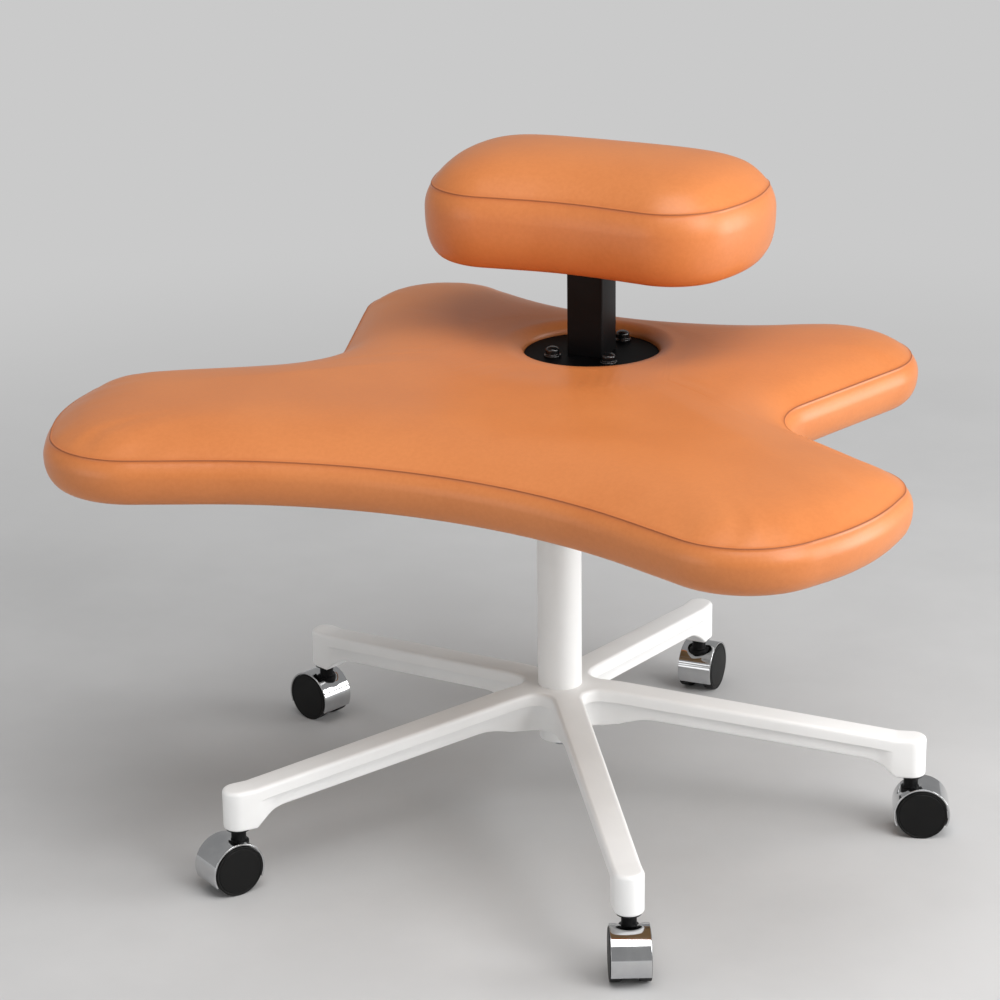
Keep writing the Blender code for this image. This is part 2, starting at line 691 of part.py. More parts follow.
def build_lift(paint, plastic, steel, chrome):
    """Outer tube, guide bush, bearing, piston rod with its clip, gas cylinder and valve pin."""
    rod_hole = ROD_RADIUS + RUN
    floor = TUBE_BOTTOM + TUBE_FLOOR
    tube = [
        (rod_hole, TUBE_BOTTOM),
        (tube_radius(TUBE_BOTTOM), TUBE_BOTTOM),
        (TUBE_RADIUS, HUB_TOP),
        (TUBE_RADIUS, TUBE_TOP),
        (TUBE_BORE, TUBE_TOP),
        (TUBE_BORE, floor),
        (rod_hole, floor),
    ]
    add_object("lift_tube", turned(tube, FINE_SEGMENTS, True), paint)
    bush_bore = CYLINDER_RADIUS + RUN
    bush = [
        (bush_bore, TUBE_TOP - BUSH_LENGTH),
        (TUBE_BORE - GAP, TUBE_TOP - BUSH_LENGTH),
        (TUBE_BORE - GAP, TUBE_TOP + GAP),
        (BUSH_FLANGE_RADIUS, TUBE_TOP + GAP),
        (BUSH_FLANGE_RADIUS, BUSH_TOP),
        (bush_bore, BUSH_TOP),
    ]
    add_object("guide_bush", turned(bush, FINE_SEGMENTS, True), plastic)
    bearing_top = floor + GAP + BEARING_HEIGHT
    bearing = [
        (rod_hole, floor + GAP),
        (BEARING_RADIUS, floor + GAP),
        (BEARING_RADIUS, bearing_top),
        (rod_hole, bearing_top),
    ]
    add_object("thrust_bearing", turned(bearing, ROD_SEGMENTS, True), steel)
    shoulder = bearing_top + GAP
    foot_low = shoulder + ROD_SHOULDER + LIFT_MARGIN
    cylinder_bottom = foot_low + LIFT_DOWN
    bore_floor = cylinder_bottom + CYLINDER_FOOT
    piston_bottom = bore_floor + LIFT_UP + LIFT_MARGIN
    clip_top = TUBE_BOTTOM - GAP
    groove = (clip_top + GAP, clip_top - CLIP_THICKNESS - GAP)
    cylinder_bore = CYLINDER_RADIUS - CYLINDER_WALL
    rod = [
        (0.0, TUBE_BOTTOM - ROD_TAIL),
        (ROD_RADIUS, TUBE_BOTTOM - ROD_TAIL),
        (ROD_RADIUS, groove[1]),
        (ROD_RADIUS - CLIP_GROOVE, groove[1]),
        (ROD_RADIUS - CLIP_GROOVE, groove[0]),
        (ROD_RADIUS, groove[0]),
        (ROD_RADIUS, shoulder),
        (ROD_SHOULDER_RADIUS, shoulder),
        (ROD_SHOULDER_RADIUS, shoulder + ROD_SHOULDER),
        (ROD_RADIUS, shoulder + ROD_SHOULDER),
        (ROD_RADIUS, piston_bottom),
        (cylinder_bore - GAP, piston_bottom),
        (cylinder_bore - GAP, piston_bottom + PISTON_HEIGHT),
        (0.0, piston_bottom + PISTON_HEIGHT),
    ]
    add_object("piston_rod", turned(rod, ROD_SEGMENTS), steel)
    clip_bore = ROD_RADIUS - CLIP_GROOVE + GAP
    clip = [
        (clip_bore, clip_top - CLIP_THICKNESS),
        (CLIP_RADIUS, clip_top - CLIP_THICKNESS),
        (CLIP_RADIUS, clip_top),
        (clip_bore, clip_top),
    ]
    ring_clip = add_object("retaining_clip", turned(clip, ROD_SEGMENTS, True), steel)
    mouth = [(clip_bore * s, y) for s, y in ((-0.9, 0.0), (0.9, 0.0), (0.9, -CLIP_RADIUS * 2), (-0.9, -CLIP_RADIUS * 2))]
    slot = loft([[(x, y, clip_top + h) for x, y in mouth] for h in (-CLIP_THICKNESS * 2, CLIP_THICKNESS)])
    combine(ring_clip, "clip_mouth_guide", slot, "DIFFERENCE")
    valve_hole = VALVE_RADIUS + RUN
    bore_top = MECHANISM_BOTTOM - CYLINDER_FOOT
    cylinder = [
        (rod_hole, cylinder_bottom),
        (CYLINDER_RADIUS, cylinder_bottom),
        (CYLINDER_RADIUS, MECHANISM_BOTTOM),
        (CYLINDER_RADIUS - CYLINDER_TAPER, CYLINDER_TOP),
        (valve_hole, CYLINDER_TOP),
        (valve_hole, bore_top),
        (cylinder_bore, bore_top),
        (cylinder_bore, bore_floor),
        (rod_hole, bore_floor),
    ]
    add_object("gas_cylinder", turned(cylinder, FINE_SEGMENTS, True), chrome)
    tip = CYLINDER_TOP + VALVE_SHOWN
    pin = [
        (0.0, tip - VALVE_LENGTH),
        (VALVE_RADIUS, tip - VALVE_LENGTH),
        (VALVE_RADIUS, tip - VALVE_RADIUS + VALVE_TIP_RADIUS),
        (VALVE_TIP_RADIUS, tip),
        (0.0, tip),
    ]
    add_object("valve_pin", turned(pin, SMALL_SEGMENTS), steel)


# Seat mechanism and lever


def lever_pivot():
    """The lever's pivot, beside the column and level with the top of the valve pin."""
    return Vector((-LEVER_ARM, 0.0, CYLINDER_TOP + VALVE_SHOWN + GAP + LEVER_RADIUS))


def lever_path():
    """The lever's middle line from the pivot: finger over the valve, shoulder, knee and handle end."""
    finger = LEVER_ARM + LEVER_FINGER
    slope = LEVER_DROP / (LEVER_KNEE - LEVER_RADIUS)
    shoulder_drop = slope * (LEVER_SHOULDER - LEVER_RADIUS)
    return [
        (finger, 0.0),
        (-LEVER_RADIUS, 0.0),
        (-LEVER_SHOULDER, -shoulder_drop),
        (-LEVER_KNEE, -LEVER_DROP),
        (-LEVER_REACH, -LEVER_DROP),
    ]


def swept(path, radius, sides=SMALL_SEGMENTS):
    """A round bar along a path in X and Z, mitred at its bends."""
    rings = []
    for i, (x, z) in enumerate(path):
        before = Vector(path[max(i - 1, 0)])
        after = Vector(path[min(i + 1, len(path) - 1)])
        here = Vector((x, z))
        steps = [step.normalized() for step in (here - before, after - here) if step.length]
        along = (steps[0] + steps[-1]).normalized()
        stretch = 1.0 / along.dot(steps[0])
        side = Vector((-along.y, along.x)) * stretch
        angles = [k * math.tau / sides for k in range(sides)]
        rings.append([
            (x + radius * math.cos(a) * side.x, radius * math.sin(a), z + radius * math.cos(a) * side.y)
            for a in angles
        ])
    return loft(rings)


def box(low, high):
    """A plain box between two corners."""
    corners = [(x, y) for x, y in ((low[0], low[1]), (high[0], low[1]), (high[0], high[1]), (low[0], high[1]))]
    return loft([[(x, y, z) for x, y in corners] for z in (low[2], high[2])])


def plate_holes(spacing):
    """Corners of a rectangular bolt pattern."""
    return [(sx * spacing[0] / 2, sy * spacing[1] / 2) for sx in (-1, 1) for sy in (-1, 1)]


def build_mechanism(steel):
    """Pressed plate under the seat, with the tapered socket and the lever's chamber and slot."""
    plate_bottom = MECHANISM_TOP - MECHANISM_PLATE
    outline = rounded_rectangle(MECHANISM_PLATE_SIZE, MECHANISM_PLATE_CORNER)
    plate = loft([ring(outline, 0.0, z) for z in (plate_bottom, MECHANISM_TOP)])
    mechanism = add_object("seat_mechanism", plate, steel)
    foot = rounded_rectangle(HOUSING_FOOT_SIZE, HOUSING_CORNER)
    head = rounded_rectangle(HOUSING_HEAD_SIZE, HOUSING_CORNER)
    middle = plate_bottom + MECHANISM_PLATE / 2
    housing = loft([ring(foot, 0.0, MECHANISM_BOTTOM), ring(head, 0.0, middle)])
    combine(mechanism, "housing_guide", housing, "UNION")
    low = MECHANISM_BOTTOM - SOCKET_DEPTH
    socket = [
        (0.0, low),
        (CYLINDER_RADIUS + GAP, low),
        (CYLINDER_RADIUS + GAP, MECHANISM_BOTTOM),
        (CYLINDER_RADIUS - CYLINDER_TAPER + GAP, CYLINDER_TOP + GAP),
        (0.0, CYLINDER_TOP + GAP),
    ]
    combine(mechanism, "lift_socket_guide", turned(socket, FINE_SEGMENTS), "DIFFERENCE")
    half = CHAMBER_WIDTH / 2
    floor = CYLINDER_TOP - GAP
    chamber = box((-CHAMBER_TAIL, -half, floor), (CHAMBER_NOSE, half, MECHANISM_TOP + MECHANISM_PLATE))
    combine(mechanism, "chamber_guide", chamber, "DIFFERENCE")
    pivot = lever_pivot()
    wall_end = HOUSING_HEAD_SIZE[0] / 2 + LEVER_ROOM
    slope = LEVER_DROP / (LEVER_KNEE - LEVER_RADIUS)
    fall = slope * (wall_end - LEVER_ARM)
    reach = LEVER_RADIUS * 1.1 + LEVER_ROOM
    slot_half = LEVER_RADIUS + LEVER_ROOM
    roof = plate_bottom - LEVER_ROOM
    side_view = [
        (-LEVER_ARM, roof),
        (-LEVER_ARM, pivot.z - reach),
        (-wall_end, pivot.z - fall - reach),
        (-wall_end, roof),
    ]
    slot = loft([[(x, y, z) for x, z in side_view] for y in (-slot_half, slot_half)])
    combine(mechanism, "lever_slot_guide", slot, "DIFFERENCE")
    pin_half = half + LEVER_PIN_SEAT + GAP
    pin_hole = lie_along_y(peg(LEVER_PIN_RADIUS + RUN, -pin_half, pin_half))
    bmesh.ops.translate(pin_hole, verts=pin_hole.verts, vec=pivot)
    combine(mechanism, "lever_pin_guide", pin_hole, "DIFFERENCE")
    holes = bmesh.new()
    for place in plate_holes(MECHANISM_BOLT_SPACING):
        peg(MECHANISM_BOLT_RADIUS + GAP, plate_bottom - GAP, MECHANISM_TOP + GAP, bm=holes, centre=place)
    combine(mechanism, "mechanism_hole_guide", holes, "DIFFERENCE")
    for index, place in enumerate(plate_holes(MECHANISM_BOLT_SPACING)):
        head_top = plate_bottom - GAP
        head_bottom = head_top - MECHANISM_BOLT_HEAD
        shank_top = BOARD_TOP - GAP
        bolt = [
            (0.0, head_bottom),
            (MECHANISM_BOLT_HEAD_RADIUS, head_bottom),
            (MECHANISM_BOLT_HEAD_RADIUS, head_top),
            (MECHANISM_BOLT_RADIUS, head_top),
            (MECHANISM_BOLT_RADIUS, shank_top),
            (0.0, shank_top),
        ]
        made = add_object(f"mechanism_bolt_{index + 1}", turned(bolt, 12), steel)
        made.location = (*place, 0.0)


def build_lever(steel, plastic):
    """Height lever with its cross pin, on an empty at the pivot, and the paddle on its end."""
    pivot = add_empty("lever_pivot", lever_pivot())
    lever = add_object("lift_lever", swept(lever_path(), LEVER_RADIUS), steel, pivot)
    pin_half = CHAMBER_WIDTH / 2 + LEVER_PIN_SEAT
    combine(lever, "cross_pin_guide", lie_along_y(peg(LEVER_PIN_RADIUS, -pin_half, pin_half)), "UNION")
    length, width, thickness = PADDLE_SIZE
    end = -LEVER_REACH - (length - PADDLE_GRIP)
    rings = []
    for share in (0.0, 0.12, 0.6, 0.94, 1.0):
        x = end + length * (1.0 - share)
        edge = 1.0 - 0.25 * (share in (0.0, 1.0))
        taper = 1.0 + (PADDLE_TAPER - 1.0) * (1.0 - share)
        outline = rounded_rectangle((width * taper * edge, thickness * edge), PADDLE_CORNER * edge)
        rings.append([(x, y, z - LEVER_DROP) for y, z, _, _ in outline])
    paddle = add_object("lever_paddle", loft(rings), plastic, pivot)
    grip = swept([(-LEVER_REACH - GAP, -LEVER_DROP), (end + 2 * length, -LEVER_DROP)], LEVER_RADIUS + GAP)
    combine(paddle, "paddle_bore_guide", grip, "DIFFERENCE")


# Seat


def post_bolt_places():
    """Bolt centres on the post's plate: a wide pair in front of the post and a narrow pair behind it."""
    pairs = (POST_BOLT_FRONT, POST_BOLT_BACK)
    return [(side * x, POST_Y + y) for x, y in pairs for side in (-1, 1)]


def bolt_holes(bottom, top):
    """Pegs for the four post bolts to pass through a piece."""
    bm = bmesh.new()
    for place in post_bolt_places():
        peg(POST_BOLT_RADIUS + GAP, bottom, top, bm=bm, centre=place)
    return bm


def hole_ring(outline, radius, height):
    """A polygon round a circle about the post, with its points on the rays to the outline's points."""
    bearings = [math.atan2(y - POST_Y, x) for x, y, _, _ in outline]
    gaps = [(b - a) % math.tau for a, b in zip(bearings, bearings[1:] + bearings[:1])]
    reach = radius / math.cos(max(gaps) / 2)
    return [(reach * math.cos(b), POST_Y + reach * math.sin(b), height) for b in bearings]


def blend_rings(first, second, share):
    """Points part of the way from one ring to another."""
    return [Vector(a).lerp(Vector(b), share) for a, b in zip(first, second)]


def seat_cushion(leather):
    """Crowned butterfly cushion, hollowed under for its board, with a rounded lip round the hole."""
    outline = seat_outline()
    roof = BOARD_TOP + GAP
    recess = GAP - BOARD_INSET
    rings = [
        hole_ring(outline, HOLE_RADIUS, roof),
        ring(outline, recess, roof),
        ring(outline, recess, SEAT_BOTTOM),
    ]
    rings += band_rings(outline, SEAT_BOTTOM, SEAT_SEAM, SEAT_RIM_ROUND)
    for step in SEAT_CROWN_STEPS:
        inset = step * SEAT_CROWN_REACH
        height = SEAT_SEAM + crown(inset, SEAT_CROWN_REACH, SEAT_CROWN)
        rings.append(ring(outline, -inset, height))
    edge = rings[-1]
    lip = hole_ring(outline, HOLE_RADIUS + HOLE_LIP, SEAT_TOP)
    for share in (0.4, 0.75):
        height = crown(inset + share * (SEAT_CROWN_REACH - inset), SEAT_CROWN_REACH, SEAT_CROWN)
        middle = blend_rings(edge, lip, share)
        rings.append([(x, y, SEAT_SEAM + height) for x, y, _ in middle])
    rings.append(lip)
    for share in (0.5, 0.15):
        drop = (PLATE_SINK - GAP) * (1.0 - math.sqrt(1.0 - (1.0 - share) ** 2))
        rings.append(hole_ring(outline, HOLE_RADIUS + HOLE_LIP * share, SEAT_TOP - drop))
    rings.append(hole_ring(outline, HOLE_RADIUS, PLATE_TOP + GAP))
    add_object("seat_cushion", loft(rings, True), leather)


def build_seat(leather, wood):
    """Seat cushion over its board."""
    seat_cushion(leather)
    outline = seat_outline()
    board = loft([ring(outline, -BOARD_INSET, z) for z in (SEAT_BOTTOM, BOARD_TOP)])
    made = add_object("seat_board", board, wood)
    combine(made, "board_post_hole_guide", bolt_holes(SEAT_BOTTOM - GAP, BOARD_TOP + GAP), "DIFFERENCE")
    holes = bmesh.new()
    for place in plate_holes(MECHANISM_BOLT_SPACING):
        peg(MECHANISM_BOLT_RADIUS + GAP, SEAT_BOTTOM - GAP, BOARD_TOP + GAP, bm=holes, centre=place)
    combine(made, "board_mechanism_hole_guide", holes, "DIFFERENCE")


# Post and pad


def build_post(black, wood):
    """Riser block, round plate, four domed bolts and the rectangular post."""
    low, high = BOARD_TOP + GAP, PLATE_BOTTOM - GAP
    block = peg(HOLE_RADIUS - RISER_MARGIN, low, high, FINE_SEGMENTS, centre=(0.0, POST_Y))
    riser = add_object("riser_block", block, wood)
    combine(riser, "riser_hole_guide", bolt_holes(low - GAP, high + GAP), "DIFFERENCE")
    disc = peg(HOLE_RADIUS - GAP, PLATE_BOTTOM, PLATE_TOP, FINE_SEGMENTS, centre=(0.0, POST_Y))
    plate = add_object("post_plate", disc, black)
    combine(plate, "plate_hole_guide", bolt_holes(PLATE_BOTTOM - GAP, PLATE_TOP + GAP), "DIFFERENCE")
    seat = PLATE_TOP + GAP
    profile = [
        (0.0, SEAT_BOTTOM + GAP),
        (POST_BOLT_RADIUS, SEAT_BOTTOM + GAP),
        (POST_BOLT_RADIUS, seat),
        (POST_BOLT_HEAD_RADIUS, seat),
        (POST_BOLT_HEAD_RADIUS, seat + POST_BOLT_HEAD * 0.2),
        (POST_BOLT_HEAD_RADIUS * 0.8, seat + POST_BOLT_HEAD * 0.3),
        (POST_BOLT_HEAD_RADIUS * 0.72, seat + POST_BOLT_HEAD * 0.75),
        (POST_BOLT_HEAD_RADIUS * 0.35, seat + POST_BOLT_HEAD),
        (0.0, seat + POST_BOLT_HEAD),
    ]
    for index, place in enumerate(post_bolt_places()):
        bolt = add_object(f"post_bolt_{index + 1}", turned(profile, 12), black)
        bolt.location = (*place, 0.0)
    outer = rounded_rectangle(POST_SIZE, POST_CORNER, (0.0, POST_Y))
    rings = [ring(outer, offset, z) for offset, z in (
        (0.0, seat),
        (0.0, POST_TOP),
        (-POST_WALL, POST_TOP),
        (-POST_WALL, seat),
    )]
    add_object("post", loft(rings, True), black)


def pad_screw_places():
    """Screw centres on the pad's bracket."""
    return [(side * PAD_SCREW_SPACING / 2, POST_Y) for side in (-1, 1)]


def screw_holes(bottom, top):
    """Pegs for the pad's screws to pass through a piece."""
    bm = bmesh.new()
    for place in pad_screw_places():
        peg(PAD_SCREW_RADIUS + GAP, bottom, top, bm=bm, centre=place)
    return bm


def pad_cushion(leather):
    """Thick crowned pad, hollowed under for its board."""
    outline = pad_outline()
    roof = PAD_BOARD_TOP + GAP
    recess = GAP - PAD_BOARD_INSET
    rings = [ring(outline, recess, roof), ring(outline, recess, PAD_BOTTOM)]
    rings += band_rings(outline, PAD_BOTTOM, PAD_SEAM, PAD_RIM_ROUND)
    for step in PAD_CROWN_STEPS:
        inset = step * PAD_CROWN_REACH
        rings.append(ring(outline, -inset, PAD_SEAM + crown(inset, PAD_CROWN_REACH, PAD_CROWN)))
    middle_y = (PAD_NEAR_LOBE[1] + PAD_FAR_LOBE[1]) / 2
    last = rings[-1]
    for share in (0.45, 0.8):
        height = PAD_SEAM + crown(inset + share * (PAD_CROWN_REACH - inset), PAD_CROWN_REACH, PAD_CROWN)
        rings.append([(x * (1.0 - share), y + (middle_y - y) * share, height) for x, y, _ in last])
    add_object("pad_cushion", loft(rings), leather)


def build_pad(leather, wood, black, steel):
    """Back pad on its board, bracket and screws."""
    pad_cushion(leather)
    board = loft([ring(pad_outline(), -PAD_BOARD_INSET, z) for z in (PAD_BOTTOM, PAD_BOARD_TOP)])
    made = add_object("pad_board", board, wood)
    combine(made, "pad_board_hole_guide", screw_holes(PAD_BOTTOM - GAP, PAD_BOARD_TOP + GAP), "DIFFERENCE")
    outline = rounded_rectangle(BRACKET_SIZE, BRACKET_CORNER, (0.0, POST_Y))
    bottom = BRACKET_TOP - BRACKET_THICKNESS
    bracket = add_object("pad_bracket", loft([ring(outline, 0.0, z) for z in (bottom, BRACKET_TOP)]), black)
    combine(bracket, "bracket_hole_guide", screw_holes(bottom - GAP, BRACKET_TOP + GAP), "DIFFERENCE")
    head_top = bottom - GAP
    profile = [
        (0.0, head_top - PAD_SCREW_HEAD),
        (PAD_SCREW_HEAD_RADIUS, head_top - PAD_SCREW_HEAD),
        (PAD_SCREW_HEAD_RADIUS, head_top),
        (PAD_SCREW_RADIUS, head_top),
        (PAD_SCREW_RADIUS, PAD_BOARD_TOP - GAP),
        (0.0, PAD_BOARD_TOP - GAP),
    ]
    for index, place in enumerate(pad_screw_places()):
        screw = add_object(f"pad_screw_{index + 1}", turned(profile, 12), steel)
        screw.location = (*place, 0.0)


def build_chair():
    """Every piece of the chair, from the floor up."""
    for old in list(bpy.data.objects):
        bpy.data.objects.remove(old)
    white = finish("white_paint", (236, 236, 234), 0.35)
    black = finish("black_paint", (22, 22, 23), 0.38, 0.3)
    plastic = finish("black_plastic", (20, 20, 21), 0.5)
    rubber = finish("black_wheel", (26, 26, 27), 0.55)
    steel = finish("zinc_steel", (150, 152, 155), 0.35, 1.0)
    chrome = finish("chrome", (205, 206, 208), 0.08, 1.0)
    leather = finish("tan_leather", (211, 134, 84), 0.45)
    wood = finish("plywood", (196, 160, 112), 0.6)
    build_base(white, plastic)
    build_casters(chrome, steel, rubber, black)
    build_lift(white, plastic, steel, chrome)
    build_mechanism(black)
    build_lever(steel, plastic)
    build_seat(leather, wood)
    build_post(black, wood)
    build_pad(leather, wood, black, steel)


build_chair()
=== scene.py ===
"""Looks of the cross-legged office chair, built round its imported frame.

Lengths are in metres, +Z is up and -Y is the seat's front.
"""
import json
import math

import bmesh
import bpy
import numpy as np
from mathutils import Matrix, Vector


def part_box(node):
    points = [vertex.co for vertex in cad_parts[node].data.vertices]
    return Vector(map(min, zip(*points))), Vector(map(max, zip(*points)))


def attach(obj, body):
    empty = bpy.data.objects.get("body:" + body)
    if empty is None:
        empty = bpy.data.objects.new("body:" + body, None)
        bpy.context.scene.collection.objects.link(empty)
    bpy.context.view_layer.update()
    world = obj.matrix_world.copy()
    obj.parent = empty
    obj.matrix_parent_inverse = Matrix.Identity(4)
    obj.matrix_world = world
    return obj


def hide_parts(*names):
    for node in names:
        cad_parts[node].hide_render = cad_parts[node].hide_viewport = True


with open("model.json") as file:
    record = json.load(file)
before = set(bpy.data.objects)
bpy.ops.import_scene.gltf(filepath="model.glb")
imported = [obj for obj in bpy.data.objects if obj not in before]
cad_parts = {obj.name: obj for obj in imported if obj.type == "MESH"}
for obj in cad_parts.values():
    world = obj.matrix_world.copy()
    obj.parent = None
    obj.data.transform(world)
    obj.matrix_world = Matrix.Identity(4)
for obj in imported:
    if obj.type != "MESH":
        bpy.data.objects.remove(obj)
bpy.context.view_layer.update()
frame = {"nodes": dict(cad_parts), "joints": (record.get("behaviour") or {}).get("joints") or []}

NODES = frame["nodes"]
MM = 0.001

# Places shared with the frame
SEAT_FRONT_RADIUS = 0.50
SEAT_FRONT_LOBE = (0.284, -0.275, 0.080)
SEAT_END_RADIUS = 0.2275
SEAT_OUTER_LOBE = (0.3235, -0.182, 0.065)
SEAT_NOTCH = (0.302, -0.003, 0.075)
SEAT_REAR_LOBE = (0.200, 0.181, 0.080)
SEAT_REAR_RADIUS = 0.28
PAD_FRONT_RADIUS = 0.32
PAD_NEAR_LOBE = (0.087, 0.064, 0.064)
PAD_END_RADIUS = 0.16
PAD_FAR_LOBE = (0.096, 0.129, 0.059)
ARC_ROOM = 1.005
POST_Y = 0.080
HOLE_RADIUS = 0.064
ARM_COUNT = 5
FIRST_ARM_ANGLE = math.radians(-56.6)
CASTER_CIRCLE = 0.335
CASTER_HEADINGS = np.radians((-64, 20, 91, 161, -121))
CASTER_TRAIL = 0.0105
WHEEL_RADIUS = 0.024

SEAT_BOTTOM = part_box("seat_cushion")[0].z
BOARD_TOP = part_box("seat_board")[1].z
SEAT_SEAM = SEAT_BOTTOM + 0.0425
PLATE_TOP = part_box("post_plate")[1].z
PAD_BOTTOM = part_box("pad_cushion")[0].z
PAD_BOARD_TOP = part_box("pad_board")[1].z
PAD_SEAM = PAD_BOTTOM + 0.070
HUB_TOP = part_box("star_base")[1].z
BOSS_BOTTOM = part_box("star_base")[0].z


# Meshes


MERGE_DISTANCE = 1e-6
CORNER_SHARE = 0.42
FLAT_MARGIN = 1.15
ARC_STEP = math.radians(7)
LYING = np.array([[1, 0, 0], [0, 0, 1], [0, -1, 0]])


def grid_faces(rows, columns, wrap_rows, wrap_columns):
    """Corner numbers of the quads between neighbours of a grid, running round where a side wraps."""
    index = np.arange(rows * columns).reshape(rows, columns)
    if wrap_rows:
        index = np.vstack([index, index[:1]])
    if wrap_columns:
        index = np.hstack([index, index[:, :1]])
    quads = np.stack([index[:-1, :-1], index[1:, :-1], index[1:, 1:], index[:-1, 1:]], -1)
    return quads.reshape(-1, 4).tolist()


def surface(points, wrap_rows=False, wrap_columns=False, cap_rows=False):
    """A grid of points as (points, faces); cap_rows closes the first and last row with a flat face."""
    rows, columns = points.shape[:2]
    faces = grid_faces(rows, columns, wrap_rows, wrap_columns)
    if cap_rows:
        faces += [list(range(columns)), list(range((rows - 1) * columns, rows * columns))]
    return points.reshape(-1, 3), faces


def make_piece(name, shells, finish, body, stands_for=(), sharp=40.0, attributes=None):
    """One object from closed shells: poles merged, faces turned out, edges over sharp degrees left sharp."""
    points, faces, start = [], [], 0
    for shell_points, shell_faces in shells:
        points.append(shell_points)
        faces += [[corner + start for corner in face] for face in shell_faces]
        start += len(shell_points)
    mesh = bpy.data.meshes.new(name)
    mesh.from_pydata(np.vstack(points), [], faces)
    for key, values in (attributes or {}).items():
        layer = mesh.attributes.new(key, "FLOAT", "POINT")
        layer.data.foreach_set("value", np.asarray(values, np.float32).ravel())
    bm = bmesh.new()
    bm.from_mesh(mesh)
    bmesh.ops.remove_doubles(bm, verts=bm.verts, dist=MERGE_DISTANCE)
    bmesh.ops.dissolve_degenerate(bm, edges=bm.edges, dist=1e-7)
    bmesh.ops.recalc_face_normals(bm, faces=bm.faces)
    bm.to_mesh(mesh)
    bm.free()
    mesh.shade_smooth()
    mesh.set_sharp_from_angle(angle=math.radians(sharp))
    mesh.materials.append(finish)
    piece = bpy.data.objects.new(name, mesh)
    bpy.context.scene.collection.objects.link(piece)
    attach(piece, body)
    if stands_for:
        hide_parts(*stands_for)
    return piece


def rounded(corners, radii, steps=5, closed=True):
    """A section with round corners, closed or open.

    Each corner C gives (1-t)^2 A + 2t(1-t) C + t^2 B, where A and B lie a radius away along its two sides.
    One more point just outside each end keeps flats flat when shaded.
    """
    corner = np.asarray(corners, float)
    reach = np.broadcast_to(np.asarray(radii, float), len(corner)).copy()
    if not closed:
        reach[[0, -1]] = 0.0
    back, ahead = np.roll(corner, 1, 0) - corner, np.roll(corner, -1, 0) - corner
    back_length, ahead_length = np.linalg.norm(back, axis=1), np.linalg.norm(ahead, axis=1)
    reach = np.minimum(reach, CORNER_SHARE * np.minimum(back_length, ahead_length))[:, None]
    back, ahead = back / back_length[:, None], ahead / ahead_length[:, None]
    t = np.linspace(0, 1, steps)[None, :, None]
    first, last = (corner + back * reach)[:, None], (corner + ahead * reach)[:, None]
    arc = (1 - t) ** 2 * first + 2 * t * (1 - t) * corner[:, None] + t ** 2 * last
    before, after = (corner + side * reach * FLAT_MARGIN for side in (back, ahead))
    section = np.concatenate([before[:, None], arc, after[:, None]], 1)
    if closed:
        return section.reshape(-1, 2)
    return np.vstack([corner[:1], section[1:-1].reshape(-1, 2), corner[-1:]])


def turned(section, segments=64, closed=True, centre=(0.0, 0.0)):
    """A section of (radius, height) turned about +Z: (r cos a, r sin a, z); an open one ends on the axis."""
    section = np.asarray(section, float)
    angle = np.linspace(0, 2 * np.pi, segments, endpoint=False)[:, None]
    radius, height = section[None, :, 0], section[None, :, 1]
    points = np.stack([
        centre[0] + radius * np.cos(angle),
        centre[1] + radius * np.sin(angle),
        height + 0 * angle,
    ], -1)
    return surface(points, wrap_rows=True, wrap_columns=closed)


def moved(shell, matrix, offset):
    """A shell turned by a 3 by 3 matrix and then shifted."""
    points, faces = shell
    return points @ np.asarray(matrix, float).T + np.asarray(offset, float), faces


def pin_shell(radius, half, segments, place):
    """Round pin along Y with eased ends: a section from -half to half, turned, laid down and put in place."""
    section = rounded([(0, -half), (radius, -half), (radius, half), (0, half)], 0.3 * MM, 4, False)
    return moved(turned(section, segments, closed=False), LYING, place)


def turn_z(angle):
    """Matrix that turns about +Z."""
    c, s = math.cos(angle), math.sin(angle)
    return np.array([[c, -s, 0], [s, c, 0], [0, 0, 1]])


def tangent_outline(circles, spacing, stations=None):
    """Outline of arcs joined by common tangents: points (x, y), outward normals, and the run each belongs to.

    A circle is (x, y, radius, turn): turn is 1 where the outline bulges round it, -1 where it bends in.
    """
    headings = []
    for here, there in zip(circles, circles[1:] + circles[:1]):
        across = (there[0] - here[0], there[1] - here[1])
        swing = math.asin((there[2] * there[3] - here[2] * here[3]) / math.hypot(*across))
        headings.append(math.atan2(across[1], across[0]) - swing)
    arcs = []
    for index, (x, y, radius, turn) in enumerate(circles):
        start = headings[index - 1]
        sweep = (headings[index] - start) * turn % math.tau
        count = max(4, math.ceil(sweep * radius / spacing), math.ceil(sweep / ARC_STEP))
        heading = start + turn * np.linspace(0, sweep, count + 1)
        normal = np.stack([np.sin(heading), -np.cos(heading)], 1)
        arcs.append((np.array([x, y]) + turn * radius * normal, normal))
    points, normals, runs = [], [], []
    for index, (arc, following) in enumerate(zip(arcs, arcs[1:] + arcs[:1])):
        first, last = arc[0][-1], following[0][0]
        if stations is None:
            share = np.linspace(0, 1, max(2, math.ceil(np.linalg.norm(last - first) / spacing)) + 1)[1:-1]
        else:
            share = stations(first, last)
        points += [arc[0], first + share[:, None] * (last - first)]
        normals += [arc[1], np.repeat(arc[1][-1:], len(share), 0)]
        runs += [np.full(len(arc[0]), 2 * index), np.full(len(share), 2 * index + 1)]
    return np.vstack(points), np.vstack(normals), np.concatenate(runs)


def mirrored(front, right, rear):
    """Circles right round a shape that is the same left and right of X = 0."""
    return front + right + rear + [(-x, y, r, turn) for x, y, r, turn in reversed(right)]


